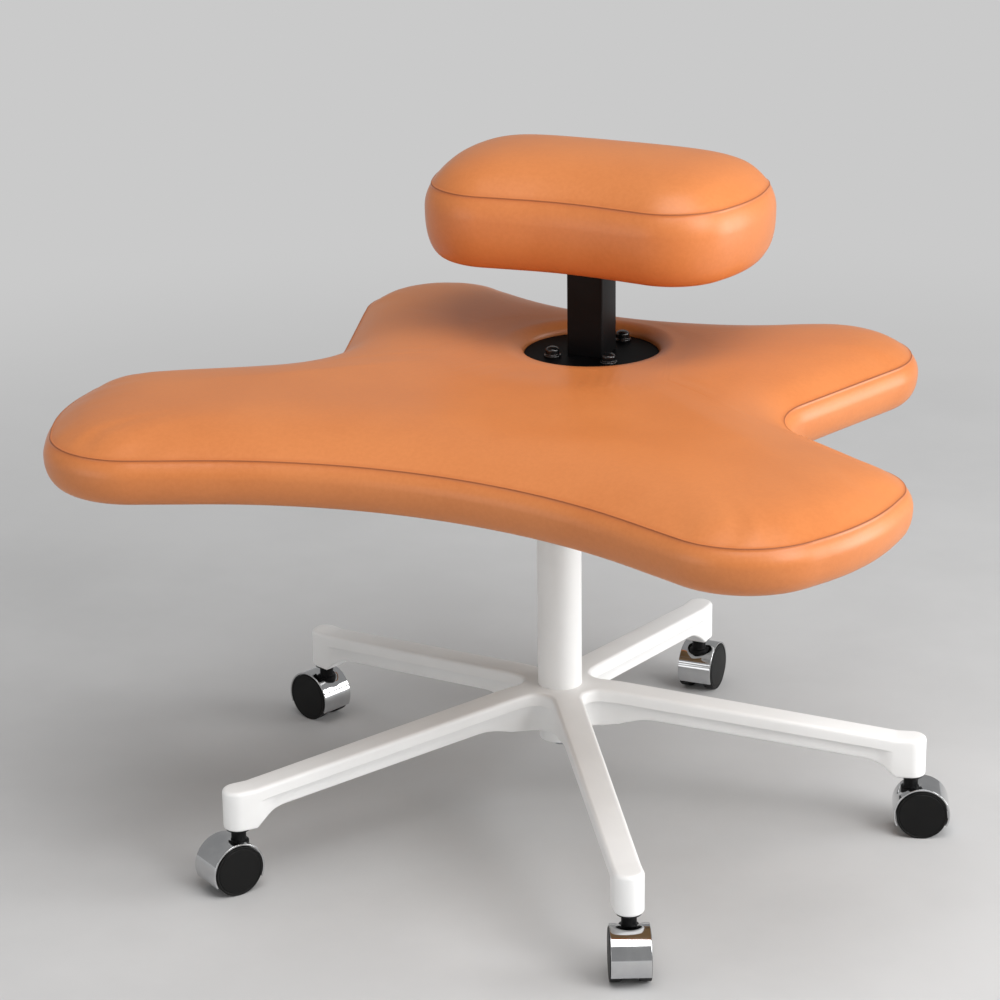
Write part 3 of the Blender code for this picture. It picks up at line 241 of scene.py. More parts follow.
def arc_round(first, second, radius):
    """A bulging run of two small circles with the wide arc between them that just holds both."""
    apart = np.subtract(second[:2], first[:2])
    length = math.hypot(*apart)
    near, far = [(radius - circle[2]) * ARC_ROOM for circle in (first, second)]
    along = (near ** 2 - far ** 2 + length ** 2) / (2 * length)
    inwards = math.sqrt(max(0.0, near ** 2 - along ** 2))
    ahead = apart / length
    middle = np.array(first[:2]) + ahead * along + np.array([-ahead[1], ahead[0]]) * inwards
    return [(*first, 1), (*middle.tolist(), radius, 1), (*second, 1)]


def waist(lobe, radius, side):
    """The hollow arc on the middle line that just clears a lobe and its mirror image; side is -1 in front."""
    reach = (radius + lobe[2]) * ARC_ROOM
    return (0.0, lobe[1] + side * math.sqrt(reach ** 2 - lobe[0] ** 2), radius, -1)


def smoothstep(value, low, high):
    """0 below low, 1 above high, and 3t^2 - 2t^3 between."""
    t = np.clip((np.asarray(value, float) - low) / (high - low), 0, 1)
    return t * t * (3 - 2 * t)


# Shader maths


class Wire:
    """A node socket that Python arithmetic works on: each operator adds a Math node and gives its result."""

    def __init__(self, tree, socket=None):
        self.tree = tree
        self.socket = socket

    def make(self, kind, settings=None, inputs=None, output=0):
        """Add any node: its settings first, then values or wires for its sockets by name or number."""
        node = self.tree.nodes.new(kind)
        for key, value in (settings or {}).items():
            setattr(node, key, value)
        for key, value in (inputs or {}).items():
            if isinstance(value, Wire):
                self.tree.links.new(value.socket, node.inputs[key])
            else:
                node.inputs[key].default_value = value
        return Wire(self.tree, node.outputs[output])

    def maths(self, operation, *values):
        """A Math node on wires or numbers."""
        return self.make("ShaderNodeMath", {"operation": operation}, dict(enumerate(values)))

    def __add__(self, other):
        return self.maths("ADD", self, other)

    def __sub__(self, other):
        return self.maths("SUBTRACT", self, other)

    def __rsub__(self, other):
        return self.maths("SUBTRACT", other, self)

    def __mul__(self, other):
        return self.maths("MULTIPLY", self, other)

    def __truediv__(self, other):
        return self.maths("DIVIDE", self, other)

    def __pow__(self, other):
        return self.maths("POWER", self, other)

    __radd__ = __add__
    __rmul__ = __mul__

    def clamped(self):
        """The value kept within 0 and 1."""
        return self.make("ShaderNodeClamp", None, {"Value": self})

    def ramp(self, low, high, start=0.0, stop=1.0):
        """The value's place between low and high, smoothly, as a number from start to stop."""
        settings = {"interpolation_type": "SMOOTHSTEP"}
        sockets = {"Value": self, "From Min": low, "From Max": high, "To Min": start, "To Max": stop}
        return self.make("ShaderNodeMapRange", settings, sockets)

    def mix(self, first, second):
        """Colour first where this wire is 0, second where it is 1."""
        sockets = {0: self, 6: first, 7: second}
        return self.make("ShaderNodeMix", {"data_type": "RGBA"}, sockets, output=2)


def srgb(red, green, blue):
    """A display colour of 0 to 255 as linear light with alpha."""
    value = np.array((red, green, blue)) / 255
    linear = np.where(value > 0.04045, ((value + 0.055) / 1.055) ** 2.4, value / 12.92)
    return (*linear.tolist(), 1.0)


def new_finish(name, **constants):
    """A material with its Principled shader: constants go on the shader's own sockets."""
    material = bpy.data.materials.new(name)
    material.use_nodes = True
    shader = material.node_tree.nodes["Principled BSDF"]
    for key, value in constants.items():
        shader.inputs[key.replace("_", " ")].default_value = value
    graph = Wire(material.node_tree)
    place = graph.make("ShaderNodeTexCoord", output="Object")
    return material, shader, graph, place


def feed(shader, **wires):
    """Join wires to the shader's sockets."""
    for key, wire in wires.items():
        wire.tree.links.new(wire.socket, shader.inputs[key.replace("_", " ")])


def noise(graph, place, scale, detail=3.0, roughness=0.5):
    """Fractal noise from 0 to 1 with about scale blots a metre."""
    sockets = {"Vector": place, "Scale": scale, "Detail": detail, "Roughness": roughness}
    return graph.make("ShaderNodeTexNoise", None, sockets)


def bump(graph, height, strength, distance):
    """Normals of a fine relief, with height from 0 to 1 times distance in metres."""
    return graph.make("ShaderNodeBump", None, {"Height": height, "Strength": strength, "Distance": distance})


SEAM_LINE = 1.1 * MM
SEAM_SHADE = 7 * MM


def tan_leather():
    """Coated tan leather: pebbled grain, cloudy tone, a dark, duller line in the sewn seam, and painted shade
    beside it.
    """
    material, shader, graph, place = new_finish("tan_leather", Specular_IOR_Level=0.40, Coat_Roughness=0.40)
    seam = graph.make("ShaderNodeAttribute", {"attribute_name": "seam"}, output="Fac")
    apart = seam.maths("ABSOLUTE", seam)
    line = (1 - apart / SEAM_LINE).clamped()
    # painted shade beside the seam: strongest on it, gone at SEAM_SHADE, it darkens the leather's tone below
    shade = apart.ramp(0.0, SEAM_SHADE, 1.0, 0.0)
    cloud = noise(graph, place, 9.0, 4.0)
    mottle = noise(graph, place, 260.0, 3.0)
    tone = cloud.ramp(0.3, 0.7) * 0.6 + mottle.ramp(0.25, 0.75) * 0.4
    plain = tone.mix(srgb(203, 120, 63), srgb(213, 130, 72))
    seam_shaded = (shade * 0.35).mix(plain, srgb(188, 100, 46))
    colour = (line ** 1.4 * 0.85).mix(seam_shaded, srgb(104, 46, 16))
    cells = graph.make(
        "ShaderNodeTexVoronoi", {"feature": "SMOOTH_F1"}, {"Vector": place, "Scale": 640.0, "Smoothness": 0.7}
    )
    fine = noise(graph, place, 1500.0, 2.0)
    relief = cells * 0.7 + fine * 0.3
    feed(
        shader,
        Base_Color=colour,
        Roughness=0.35 + tone * 0.08 + line * 0.2,
        Coat_Weight=0.10 + cloud * 0.08,
        Normal=bump(graph, relief, 0.16, 0.35 * MM),
    )
    return material


def white_coat():
    """Satin white powder coat with a faint orange-peel skin and a little grey in the hollows of the tone."""
    material, shader, graph, place = new_finish("white_coat", Specular_IOR_Level=0.5)
    cloud = noise(graph, place, 14.0, 3.0)
    peel = noise(graph, place, 700.0, 2.0)
    colour = cloud.ramp(0.3, 0.7).mix(srgb(244, 244, 243), srgb(249, 249, 248))
    feed(
        shader,
        Base_Color=colour,
        Roughness=0.30 + cloud * 0.10,
        Normal=bump(graph, peel, 0.12, 0.12 * MM),
    )
    return material


def black_coat(name, gloss, roughness):
    """Black paint: fine texture, with a cloudy tone and sheen."""
    material, shader, graph, place = new_finish(name, Specular_IOR_Level=gloss)
    cloud = noise(graph, place, 30.0, 3.0)
    peel = noise(graph, place, 1300.0, 2.0)
    colour = cloud.ramp(0.3, 0.7).mix(srgb(13, 13, 14), srgb(20, 20, 21))
    feed(
        shader,
        Base_Color=colour,
        Roughness=roughness + cloud * 0.12,
        Normal=bump(graph, peel, 0.2, 0.12 * MM),
    )
    return material


def dull_black():
    """Dull black paint of the sunk plate: almost no gloss, with a faint brushed-on cloud of tone."""
    material, shader, graph, place = new_finish("dull_black", Specular_IOR_Level=0.03)
    cloud = noise(graph, place, 40.0, 4.0)
    peel = noise(graph, place, 1300.0, 2.0)
    feed(
        shader,
        Base_Color=cloud.ramp(0.3, 0.7).mix(srgb(9, 9, 10), srgb(15, 15, 16)),
        Roughness=0.40 + cloud * 0.15,
        Normal=bump(graph, peel, 0.2, 0.12 * MM),
    )
    return material


def black_nylon(name, tone, gloss):
    """Moulded black nylon with a faint moulded grain and dusty, duller patches."""
    material, shader, graph, place = new_finish(name, Specular_IOR_Level=0.25)
    dust = noise(graph, place, 60.0, 4.0)
    grain = noise(graph, place, 1800.0, 2.0)
    colour = dust.ramp(0.45, 0.8).mix(srgb(tone, tone, tone), srgb(tone + 9, tone + 9, tone + 8))
    feed(
        shader,
        Base_Color=colour,
        Roughness=gloss + dust * 0.15,
        Normal=bump(graph, grain, 0.25, 0.1 * MM),
    )
    return material


def bright_chrome():
    """Polished chrome with faint smears that dull it a little."""
    material, shader, graph, place = new_finish("bright_chrome", Metallic=1.0)
    smear = noise(graph, place, 45.0, 4.0)
    colour = smear.ramp(0.3, 0.7).mix(srgb(196, 197, 199), srgb(208, 209, 210))
    feed(shader, Base_Color=colour, Roughness=0.05 + smear.ramp(0.4, 0.8) * 0.09)
    return material


def zinc_steel():
    """Zinc-plated steel: cool grey, finely drawn along its length."""
    material, shader, graph, place = new_finish("zinc_steel", Metallic=1.0)
    cloud = noise(graph, place, 80.0, 4.0)
    stretched = graph.make("ShaderNodeMapping", None, {"Vector": place, "Scale": (1.0, 1.0, 0.06)})
    drawn = noise(graph, stretched, 2200.0, 2.0)
    colour = cloud.ramp(0.3, 0.7).mix(srgb(148, 150, 154), srgb(176, 178, 181))
    feed(
        shader,
        Base_Color=colour,
        Roughness=0.28 + cloud * 0.14,
        Normal=bump(graph, drawn, 0.15, 0.08 * MM),
    )
    return material


def plywood(name, bottom, thickness, plies):
    """Birch plywood: long grain on the faces and dark glue lines between plies on the cut edge."""
    material, shader, graph, place = new_finish(name, Specular_IOR_Level=0.35)
    height = graph.make("ShaderNodeSeparateXYZ", None, {"Vector": place}, output="Z")
    layer = (height - bottom) / thickness * plies
    split = layer.maths("FRACT", layer)
    glue = split.maths("ABSOLUTE", split - 0.5).ramp(0.38, 0.5)
    along = graph.make("ShaderNodeMapping", None, {"Vector": place, "Scale": (0.12, 1.0, 1.0)})
    grain = noise(graph, along, 180.0, 5.0, 0.6)
    cloud = noise(graph, place, 12.0, 3.0)
    face = (grain * 0.7 + cloud * 0.3).ramp(0.3, 0.7).mix(srgb(176, 139, 94), srgb(205, 172, 124))
    colour = (glue * 0.6).mix(face, srgb(118, 84, 52))
    feed(
        shader,
        Base_Color=colour,
        Roughness=0.55 + grain * 0.15,
        Normal=bump(graph, grain, 0.25, 0.2 * MM),
    )
    return material


LEATHER = tan_leather()
WHITE = white_coat()
BLACK = black_coat("black_coat", 0.12, 0.34)
BOLT_BLACK = black_coat("bolt_black", 0.7, 0.16)
PLATE_BLACK = dull_black()
PLASTIC = black_nylon("black_plastic", 15, 0.40)
WHEEL = black_nylon("wheel_nylon", 8, 0.42)
CHROME = bright_chrome()
STEEL = zinc_steel()
SEAT_PLY = plywood("seat_plywood", SEAT_BOTTOM, BOARD_TOP - SEAT_BOTTOM, 7)
PAD_PLY = plywood("pad_plywood", PAD_BOTTOM, PAD_BOARD_TOP - PAD_BOTTOM, 7)
RISER_PLY = plywood("riser_plywood", BOARD_TOP, PLATE_TOP - BOARD_TOP, 19)


# Cushions


def soft_distance(points, outline):
    """Distance in from an outline with no ridge down the middle: sqrt(2 / sum of step / d^3)."""
    step = np.linalg.norm(np.roll(outline, -1, 0) - np.roll(outline, 1, 0), axis=1) / 2
    total = np.empty(len(points))
    for block in np.array_split(np.arange(len(points)), max(1, len(points) // 1500)):
        gap = np.linalg.norm(points[block, None] - outline[None], axis=2)
        total[block] = (step / np.maximum(gap, 1e-4) ** 3).sum(1)
    return np.sqrt(2 / total)


def crown(inset, reach, rise, out):
    """Height of a stuffed panel above its seam, at an inset.

    It is part of an ellipse that starts upright on the fullest line, out beyond the seam and below it, and
    comes level at reach inside the seam.
    """
    foot = math.sqrt(1 - (reach / (reach + out)) ** 2)
    rest = np.clip((reach - inset) / (reach + out), 0, 1)
    return rise / (1 - foot) * (np.sqrt(1 - rest * rest) - foot)


SEAM_TUCK = 1.5 * MM
SEAM_STEPS = np.array([9.0, 6.0, 4.2, 3.0, 2.0, 1.3, 0.8, 0.4, 0.0]) * MM


def side_section(bottom, seam, rim, fullness, panel):
    """Section of a cushion's side, as offsets from its seam and heights.

    A quarter of |x|^n + |z|^n = 1 runs from the bottom out to the fullest line, with n the fullness, and the
    foot of the crown's ellipse runs from there in to the seam.
    """
    reach, _, out = panel
    turn = np.linspace(np.pi / 2, 0, 16)
    fullest = seam + crown(-out, *panel)
    length = math.hypot(out, seam - fullest)
    share = np.concatenate([np.linspace(0, 1 - SEAM_STEPS[0] / length, 8)[1:-1], 1 - SEAM_STEPS / length])
    inset = reach - (reach + out) * np.cos(share * math.acos(reach / (reach + out)))
    offset = np.concatenate([out - rim + rim * np.cos(turn) ** (2 / fullness), -inset])
    lower = fullest - (fullest - bottom) * np.sin(turn) ** (2 / fullness)
    return offset, np.concatenate([lower, seam + crown(inset, *panel)])


TOP_INSETS = np.array([
    0.02, 0.08, 0.18, 0.35, 0.6, 1.0, 1.6, 2.4, 3.5, 5.0, 7.0, 9.5, 12.5, 16.0, 20.0, 25.0, 31.0,
]) * MM


def carried(outline, normal, offsets, heights):
    """Rings of one section carried round an outline: outline plus normal times offset, at a height."""
    flat = outline[None] + normal[None] * np.asarray(offsets)[:, None, None]
    height = np.broadcast_to(np.asarray(heights, float)[:, None], flat.shape[:2])
    return np.concatenate([flat, height[..., None]], 2)


def nearest(points, others):
    """Number of the nearest other point to each point."""
    found = np.empty(len(points), int)
    half = (others ** 2).sum(1) / 2
    for block in np.array_split(np.arange(len(points)), max(1, len(points) // 400)):
        found[block] = np.argmin(half[None] - points[block] @ others.T, axis=1)
    return found


def blurred(field, rounds):
    """A grid's values, each averaged with its neighbours along both sides of the grid a number of times."""
    for _ in range(rounds):
        field = (np.roll(field, 1, 1) + 2 * field + np.roll(field, -1, 1)) / 4
        inner = (field[:-2] + 2 * field[1:-1] + field[2:]) / 4
        field = np.concatenate([field[:1], inner, field[-1:]], 0)
    return field


CLOTH_STEPS = 20
BLUR_ROUNDS = 8


def inflated(points, held_rows, voxel, pressure, most):
    """Swell a closed grid as stuffed cloth.

    A remeshed copy is blown up with its held rows pinned, and each grid point takes the move of the nearest
    simulated point, capped and averaged over the grid.
    """
    scene = bpy.context.scene
    rows, columns = points.shape[:2]
    mesh = bpy.data.meshes.new("swell")
    flat, faces = surface(points, wrap_rows=True, wrap_columns=True)
    mesh.from_pydata(flat, [], faces)
    bm = bmesh.new()
    bm.from_mesh(mesh)
    bmesh.ops.remove_doubles(bm, verts=bm.verts, dist=MERGE_DISTANCE)
    bmesh.ops.recalc_face_normals(bm, faces=bm.faces)
    bm.to_mesh(mesh)
    bm.free()
    copy = bpy.data.objects.new("swell", mesh)
    scene.collection.objects.link(copy)
    remesh = copy.modifiers.new("remesh", "REMESH")
    remesh.mode = "VOXEL"
    remesh.voxel_size = voxel
    shape = bpy.data.meshes.new_from_object(copy.evaluated_get(bpy.context.evaluated_depsgraph_get()))
    copy.modifiers.clear()
    copy.data = shape
    before = np.empty(len(shape.vertices) * 3)
    shape.vertices.foreach_get("co", before)
    before = before.reshape(-1, 3)
    owner = nearest(before, flat)
    group = copy.vertex_groups.new(name="held")
    group.add(np.flatnonzero(held_rows[owner // columns]).tolist(), 1.0, "REPLACE")
    cloth = copy.modifiers.new("cloth", "CLOTH")
    cloth.settings.quality = 5
    cloth.settings.mass = 0.25
    cloth.settings.tension_stiffness = 12
    cloth.settings.compression_stiffness = 12
    cloth.settings.bending_stiffness = 1.5
    cloth.settings.use_pressure = True
    cloth.settings.uniform_pressure_force = pressure
    cloth.settings.vertex_group_mass = "held"
    cloth.settings.effector_weights.gravity = 0
    cloth.collision_settings.use_collision = False
    cloth.point_cache.frame_end = CLOTH_STEPS
    for step in range(1, CLOTH_STEPS + 1):
        scene.frame_set(step)
    after = np.empty_like(before)
    result = copy.evaluated_get(bpy.context.evaluated_depsgraph_get()).to_mesh()
    result.vertices.foreach_get("co", after.ravel())
    scene.frame_set(1)
    move = after.reshape(-1, 3) - before
    length = np.linalg.norm(move, axis=1, keepdims=True)
    move *= np.minimum(1, most / np.maximum(length, 1e-9))
    bpy.data.objects.remove(copy)
    field = move[nearest(flat, before)].reshape(rows, columns, 3)
    return points + blurred(field, BLUR_ROUNDS)


def grid_normals(points):
    """Unit normals of a grid that wraps along its columns, from the cross product of its two directions."""
    along = np.roll(points, -1, 1) - np.roll(points, 1, 1)
    up = np.gradient(points, axis=0)
    normal = np.cross(along, up)
    return normal / np.maximum(np.linalg.norm(normal, axis=2, keepdims=True), 1e-12)


SEAM_DEPTH = 0.9 * MM
PUCKER_HEIGHT = 0.16 * MM
PUCKER_FADE = 6 * MM
PUCKER_START = 1.5 * MM
PUCKER_WAVES = ((0.011, 0.5), (0.0165, 0.6), (0.029, 0.5))
GATHER_WAVE = 0.31


def sew(points, seam_row, outward):
    """Draw the seam in: a groove of exp(-(s / line)^2) and small puckers that fade with distance s from it.

    Returns the points and s, which is below 0 under the seam.
    """
    step = np.linalg.norm(np.diff(points, axis=0), axis=2)
    run = np.concatenate([np.zeros((1, points.shape[1])), np.cumsum(step, 0)])
    s = run - run[seam_row]
    ring = points[seam_row]
    along = np.concatenate([[0], np.cumsum(np.linalg.norm(np.diff(ring, axis=0), axis=1))])
    turn = 2 * np.pi * along / (along[-1] + np.linalg.norm(ring[0] - ring[-1]))
    ripple = sum(
        weight * np.sin(round(along[-1] / wave) * turn + 2.4 * k)
        for k, (wave, weight) in enumerate(PUCKER_WAVES)
    )
    gather = 0.55 + 0.45 * np.sin(round(along[-1] / GATHER_WAVE) * turn + 0.7)
    depth = -SEAM_DEPTH * np.exp(-(s / SEAM_LINE) ** 2)
    fade = np.exp(-np.abs(s) / PUCKER_FADE) * (1 - np.exp(-(s / PUCKER_START) ** 2))
    pucker = PUCKER_HEIGHT * ripple * gather * fade
    return points + outward * (depth + pucker)[..., None], s


def eased_inset(top, outline):
    """Inset of a top panel's points: the ring's own inset beside the seam, easing into the soft distance."""
    field = soft_distance(top.reshape(-1, 2), outline).reshape(top.shape[:2])
    count = len(TOP_INSETS)
    ring = TOP_INSETS[:, None]
    field[:count] = ring + (field[:count] - ring) * smoothstep(ring, 8 * MM, 26 * MM)
    return field


def even_rays(ring, evenness):
    """Directions from the origin towards a ring of points.

    Each is the point's own bearing, moved by a share, the evenness, towards even steps along the ring.
    """
    bearing = np.unwrap(np.arctan2(ring[:, 1], ring[:, 0]))
    step = np.linalg.norm(np.roll(ring, -1, 0) - ring, axis=1)
    even = 2 * np.pi * (np.cumsum(step) - step) / step.sum()
    bearing = bearing + evenness * (even - bearing + np.mean(bearing - even))
    return np.stack([np.cos(bearing), np.sin(bearing)], 1)


# A panel is its reach, rise and out, a side its rim and fullness, a swell its voxel, pressure and most
SEAT_PANEL = (64 * MM, 20 * MM, 7 * MM)
SEAT_SIDE = (19 * MM, 2.2)
SEAT_SWELL = (6 * MM, 4.0, 4.5 * MM)
SEAT_SPACING = 3.4 * MM
SEAT_RECESS = 16.7 * MM
BOARD_GAP = 0.3 * MM
UNDER_ROWS = 3
LIP_GAP = 0.5 * MM
LIP_REACH = 19 * MM
FRONT_LIP_REACH = 44 * MM
GUIDE_CENTRE = np.array([0.0, 0.035])
GUIDE_RADIUS = 0.130
GUIDE_EVENNESS = 0.15
RAY_EVENNESS = 0.7
DIP_SHARE = 0.12
DIP_REACH = 60 * MM


def seat_cushion():
    """Butterfly seat: a side section carried round the outline, and a crowned top down to the hole's lip."""
    right = arc_round(SEAT_FRONT_LOBE, SEAT_OUTER_LOBE, SEAT_END_RADIUS)
    right += [(*SEAT_NOTCH, -1), (*SEAT_REAR_LOBE, 1)]
    front, rear = waist(SEAT_FRONT_LOBE, SEAT_FRONT_RADIUS, -1), waist(SEAT_REAR_LOBE, SEAT_REAR_RADIUS, 1)
    outline, normal, _ = tangent_outline(mirrored([front], right, [rear]), SEAT_SPACING)
    hub = np.array([0.0, POST_Y])
    edge = carried(outline, normal, -SEAM_TUCK - TOP_INSETS, np.full(len(TOP_INSETS), SEAT_SEAM))
    spokes = edge[-1, :, :2] - GUIDE_CENTRE
    ray = even_rays(spokes, RAY_EVENNESS)
    guide = GUIDE_CENTRE + GUIDE_RADIUS * even_rays(spokes, GUIDE_EVENNESS)
    roof = BOARD_TOP + BOARD_GAP
    under = np.concatenate([hub + ray * HOLE_RADIUS, np.full((len(ray), 1), roof)], 1)[None]
    recess = carried(outline, normal, [-SEAT_RECESS] * 2, [roof, SEAT_BOTTOM])
    offset, height = side_section(SEAT_BOTTOM, SEAT_SEAM, *SEAT_SIDE, SEAT_PANEL)
    side = carried(outline, normal, offset - SEAM_TUCK, height)
    seam_row = UNDER_ROWS + len(offset) - 1
    reach = LIP_REACH + (FRONT_LIP_REACH - LIP_REACH) * (0.5 - 0.5 * ray[:, 1]) ** 1.5
    lip = hub + ray * (HOLE_RADIUS + reach)[:, None]
    outer, inner = np.linspace(0, 1, 19)[1:, None, None], np.linspace(0, 1, 11)[1:, None, None]
    middle = [edge[-1:, :, :2] * (1 - outer) + guide * outer, guide * (1 - inner) + lip * inner]
    turn = np.linspace(np.pi / 2, 0, 16)[1:, None, None]
    rim = hub + ray[None] * (HOLE_RADIUS + reach[None, :, None] * (1 - np.cos(turn)))
    top = np.concatenate([edge[..., :2], *middle, rim], 0)
    rise = SEAT_SEAM + crown(eased_inset(top, outline), *SEAT_PANEL)
    out = np.linalg.norm(top - hub, axis=2) - HOLE_RADIUS
    rest = 1 - np.clip(out / reach, 0, 1)
    rolled = 1 - np.sqrt(1 - rest * rest)
    dip = DIP_SHARE * (1 - smoothstep(out, 0, DIP_REACH))
    rise = rise - np.maximum(rolled, dip) * (rise - PLATE_TOP - LIP_GAP)
    points = np.concatenate([under, recess, side, np.concatenate([top, rise[..., None]], 2)], 0)
    rows = np.arange(len(points))
    held = (rows < UNDER_ROWS + 6) | (np.abs(rows - seam_row) < 7) | (rows > len(points) - 18)
    points = inflated(points, held, *SEAT_SWELL)
    points, seam = sew(points, seam_row, -grid_normals(points))
    shell = surface(points, wrap_rows=True, wrap_columns=True)
    piece = make_piece(
        "seat_leather", [shell], LEATHER, "seat", ["seat_cushion"], 60, {"seam": seam}
    )


PAD_PANEL = (90 * MM, 37 * MM, 7 * MM)
PAD_SIDE = (24 * MM, 2.5)
PAD_SWELL = (5 * MM, 4.0, 3.5 * MM)
PAD_SPACING = 2.4 * MM
PAD_RECESS = 27.7 * MM


def pad_cushion():
    """Bone-shaped back pad: side section carried round the outline, full crown closing on its middle."""
    right = arc_round(PAD_NEAR_LOBE, PAD_FAR_LOBE, PAD_END_RADIUS)
    front = waist(PAD_NEAR_LOBE, PAD_FRONT_RADIUS, -1)
    outline, normal, _ = tangent_outline(mirrored([front], right, []), PAD_SPACING)
    middle = np.array([0.0, (PAD_NEAR_LOBE[1] + PAD_FAR_LOBE[1]) / 2])
    roof = PAD_BOARD_TOP + BOARD_GAP
    centre = np.broadcast_to(np.array([*middle, roof]), (1, len(outline), 3))
    recess = carried(outline, normal, [-PAD_RECESS] * 2, [roof, PAD_BOTTOM])
    offset, height = side_section(PAD_BOTTOM, PAD_SEAM, *PAD_SIDE, PAD_PANEL)
    side = carried(outline, normal, offset - SEAM_TUCK, height)
    seam_row = UNDER_ROWS + len(offset) - 1
    edge = carried(outline, normal, -SEAM_TUCK - TOP_INSETS, np.full(len(TOP_INSETS), PAD_SEAM))
    share = np.linspace(0, 1, 30)[1:, None, None]
    top = np.concatenate([edge[..., :2], edge[-1:, :, :2] * (1 - share) + middle * share], 0)
    rise = PAD_SEAM + crown(eased_inset(top, outline), *PAD_PANEL)
    points = np.concatenate([centre, recess, side, np.concatenate([top, rise[..., None]], 2)], 0)
    rows = np.arange(len(points))
    held = (rows < UNDER_ROWS + 5) | (np.abs(rows - seam_row) < 6)
    points[1:-1] = inflated(points, held, *PAD_SWELL)[1:-1]
    points[-1] = points[-2].mean(0)
    points, seam = sew(points, seam_row, -grid_normals(points))
    points[-1] = points[-1].mean(0)
    points[0] = centre[0]
    shell = surface(points, wrap_columns=True)
    piece = make_piece(
        "pad_leather", [shell], LEATHER, "seat", ["pad_cushion"], 60, {"seam": seam}
    )


# Base


BOSS_RADIUS = 0.0135
BOSS_INSIDE = CASTER_CIRCLE - BOSS_RADIUS
SWEEP_START = BOSS_INSIDE - 0.032
ARM_FALL = 0.037
ARM_HEIGHT = 0.026
ARM_HALF = 0.0146
FILLET_RADIUS = 0.016
HUB_FLAT = 0.050
HUB_HEIGHT = 0.039
BORE_RADII = (20.0 * MM, 20.8 * MM)
FLANGE_HEIGHT = 12 * MM
FLANGE_STEP = 2.2 * MM
FLANGE_FOOT = 0.8 * MM
TOP_EDGE = 4 * MM
WEB_EDGE = 2.5 * MM
WEB_INSET = 3.5 * MM
WEB_WALL = 4 * MM
HUB_RUNOUT = (HUB_FLAT - 0.004, HUB_FLAT + 0.044)
WEB_RUNOUT = (BOSS_INSIDE - 0.020, BOSS_INSIDE - 0.002)
SWEEP_POWER = 2.4
STATION_TURNS = (0.060, 0.110, SWEEP_START - 0.016, BOSS_INSIDE)
CHANNEL_ROOF = 0.012
CHANNEL_START = (0.080, 0.096)
CHANNEL_END = (SWEEP_START - 0.012, SWEEP_START + 0.004)


def arm_angle(index):
    """Direction of an arm."""
    return FIRST_ARM_ANGLE + index * math.tau / ARM_COUNT


def arm_end(index):
    """Caster axis at an arm's end."""
    return np.array([CASTER_CIRCLE * math.cos(arm_angle(index)), CASTER_CIRCLE * math.sin(arm_angle(index))])


def base_top(radius):
    """Upper face: level hub, then arms that fall evenly, then level bosses."""
    share = np.clip((radius - HUB_FLAT) / (BOSS_INSIDE - HUB_FLAT), 0, 1)
    return HUB_TOP - ARM_FALL * share


def base_bottom(radius):
    """Underside: deep hub, shallow arm, then a curve down into the boss."""
    arm = base_top(radius) - ARM_HEIGHT
    hub = HUB_TOP - HUB_HEIGHT
    level = hub + (arm - hub) * smoothstep(radius, *HUB_RUNOUT)
    sweep = np.clip((radius - SWEEP_START) / (BOSS_INSIDE - SWEEP_START), 0, 1)
    return level + (BOSS_BOTTOM - level) * sweep ** SWEEP_POWER


def web_step(radius):
    """How far the web stands in from the flange: it runs out to nothing at the boss."""
    return WEB_INSET * (1 - smoothstep(radius, *WEB_RUNOUT))


def pocket_depth(radius):
    """Depth of the open channel under an arm, with sloped ends."""
    rise = smoothstep(radius, *CHANNEL_START) * (1 - smoothstep(radius, *CHANNEL_END))
    return rise * (base_top(radius) - CHANNEL_ROOF - base_bottom(radius))


def arm_stations(first, last):
    """Shares along an arm's side, closer together where the section changes."""
    root, run, bend, boss = STATION_TURNS
    wanted = np.concatenate([
        np.linspace(root, run, 14),
        np.linspace(run, bend, 16)[1:],
        np.linspace(bend, boss, 30)[1:],
    ])
    inner, outer = np.hypot(*first), np.hypot(*last)
    share = np.sort((wanted - inner) / (outer - inner))
    return share[(share > 0.002) & (share < 0.998)]


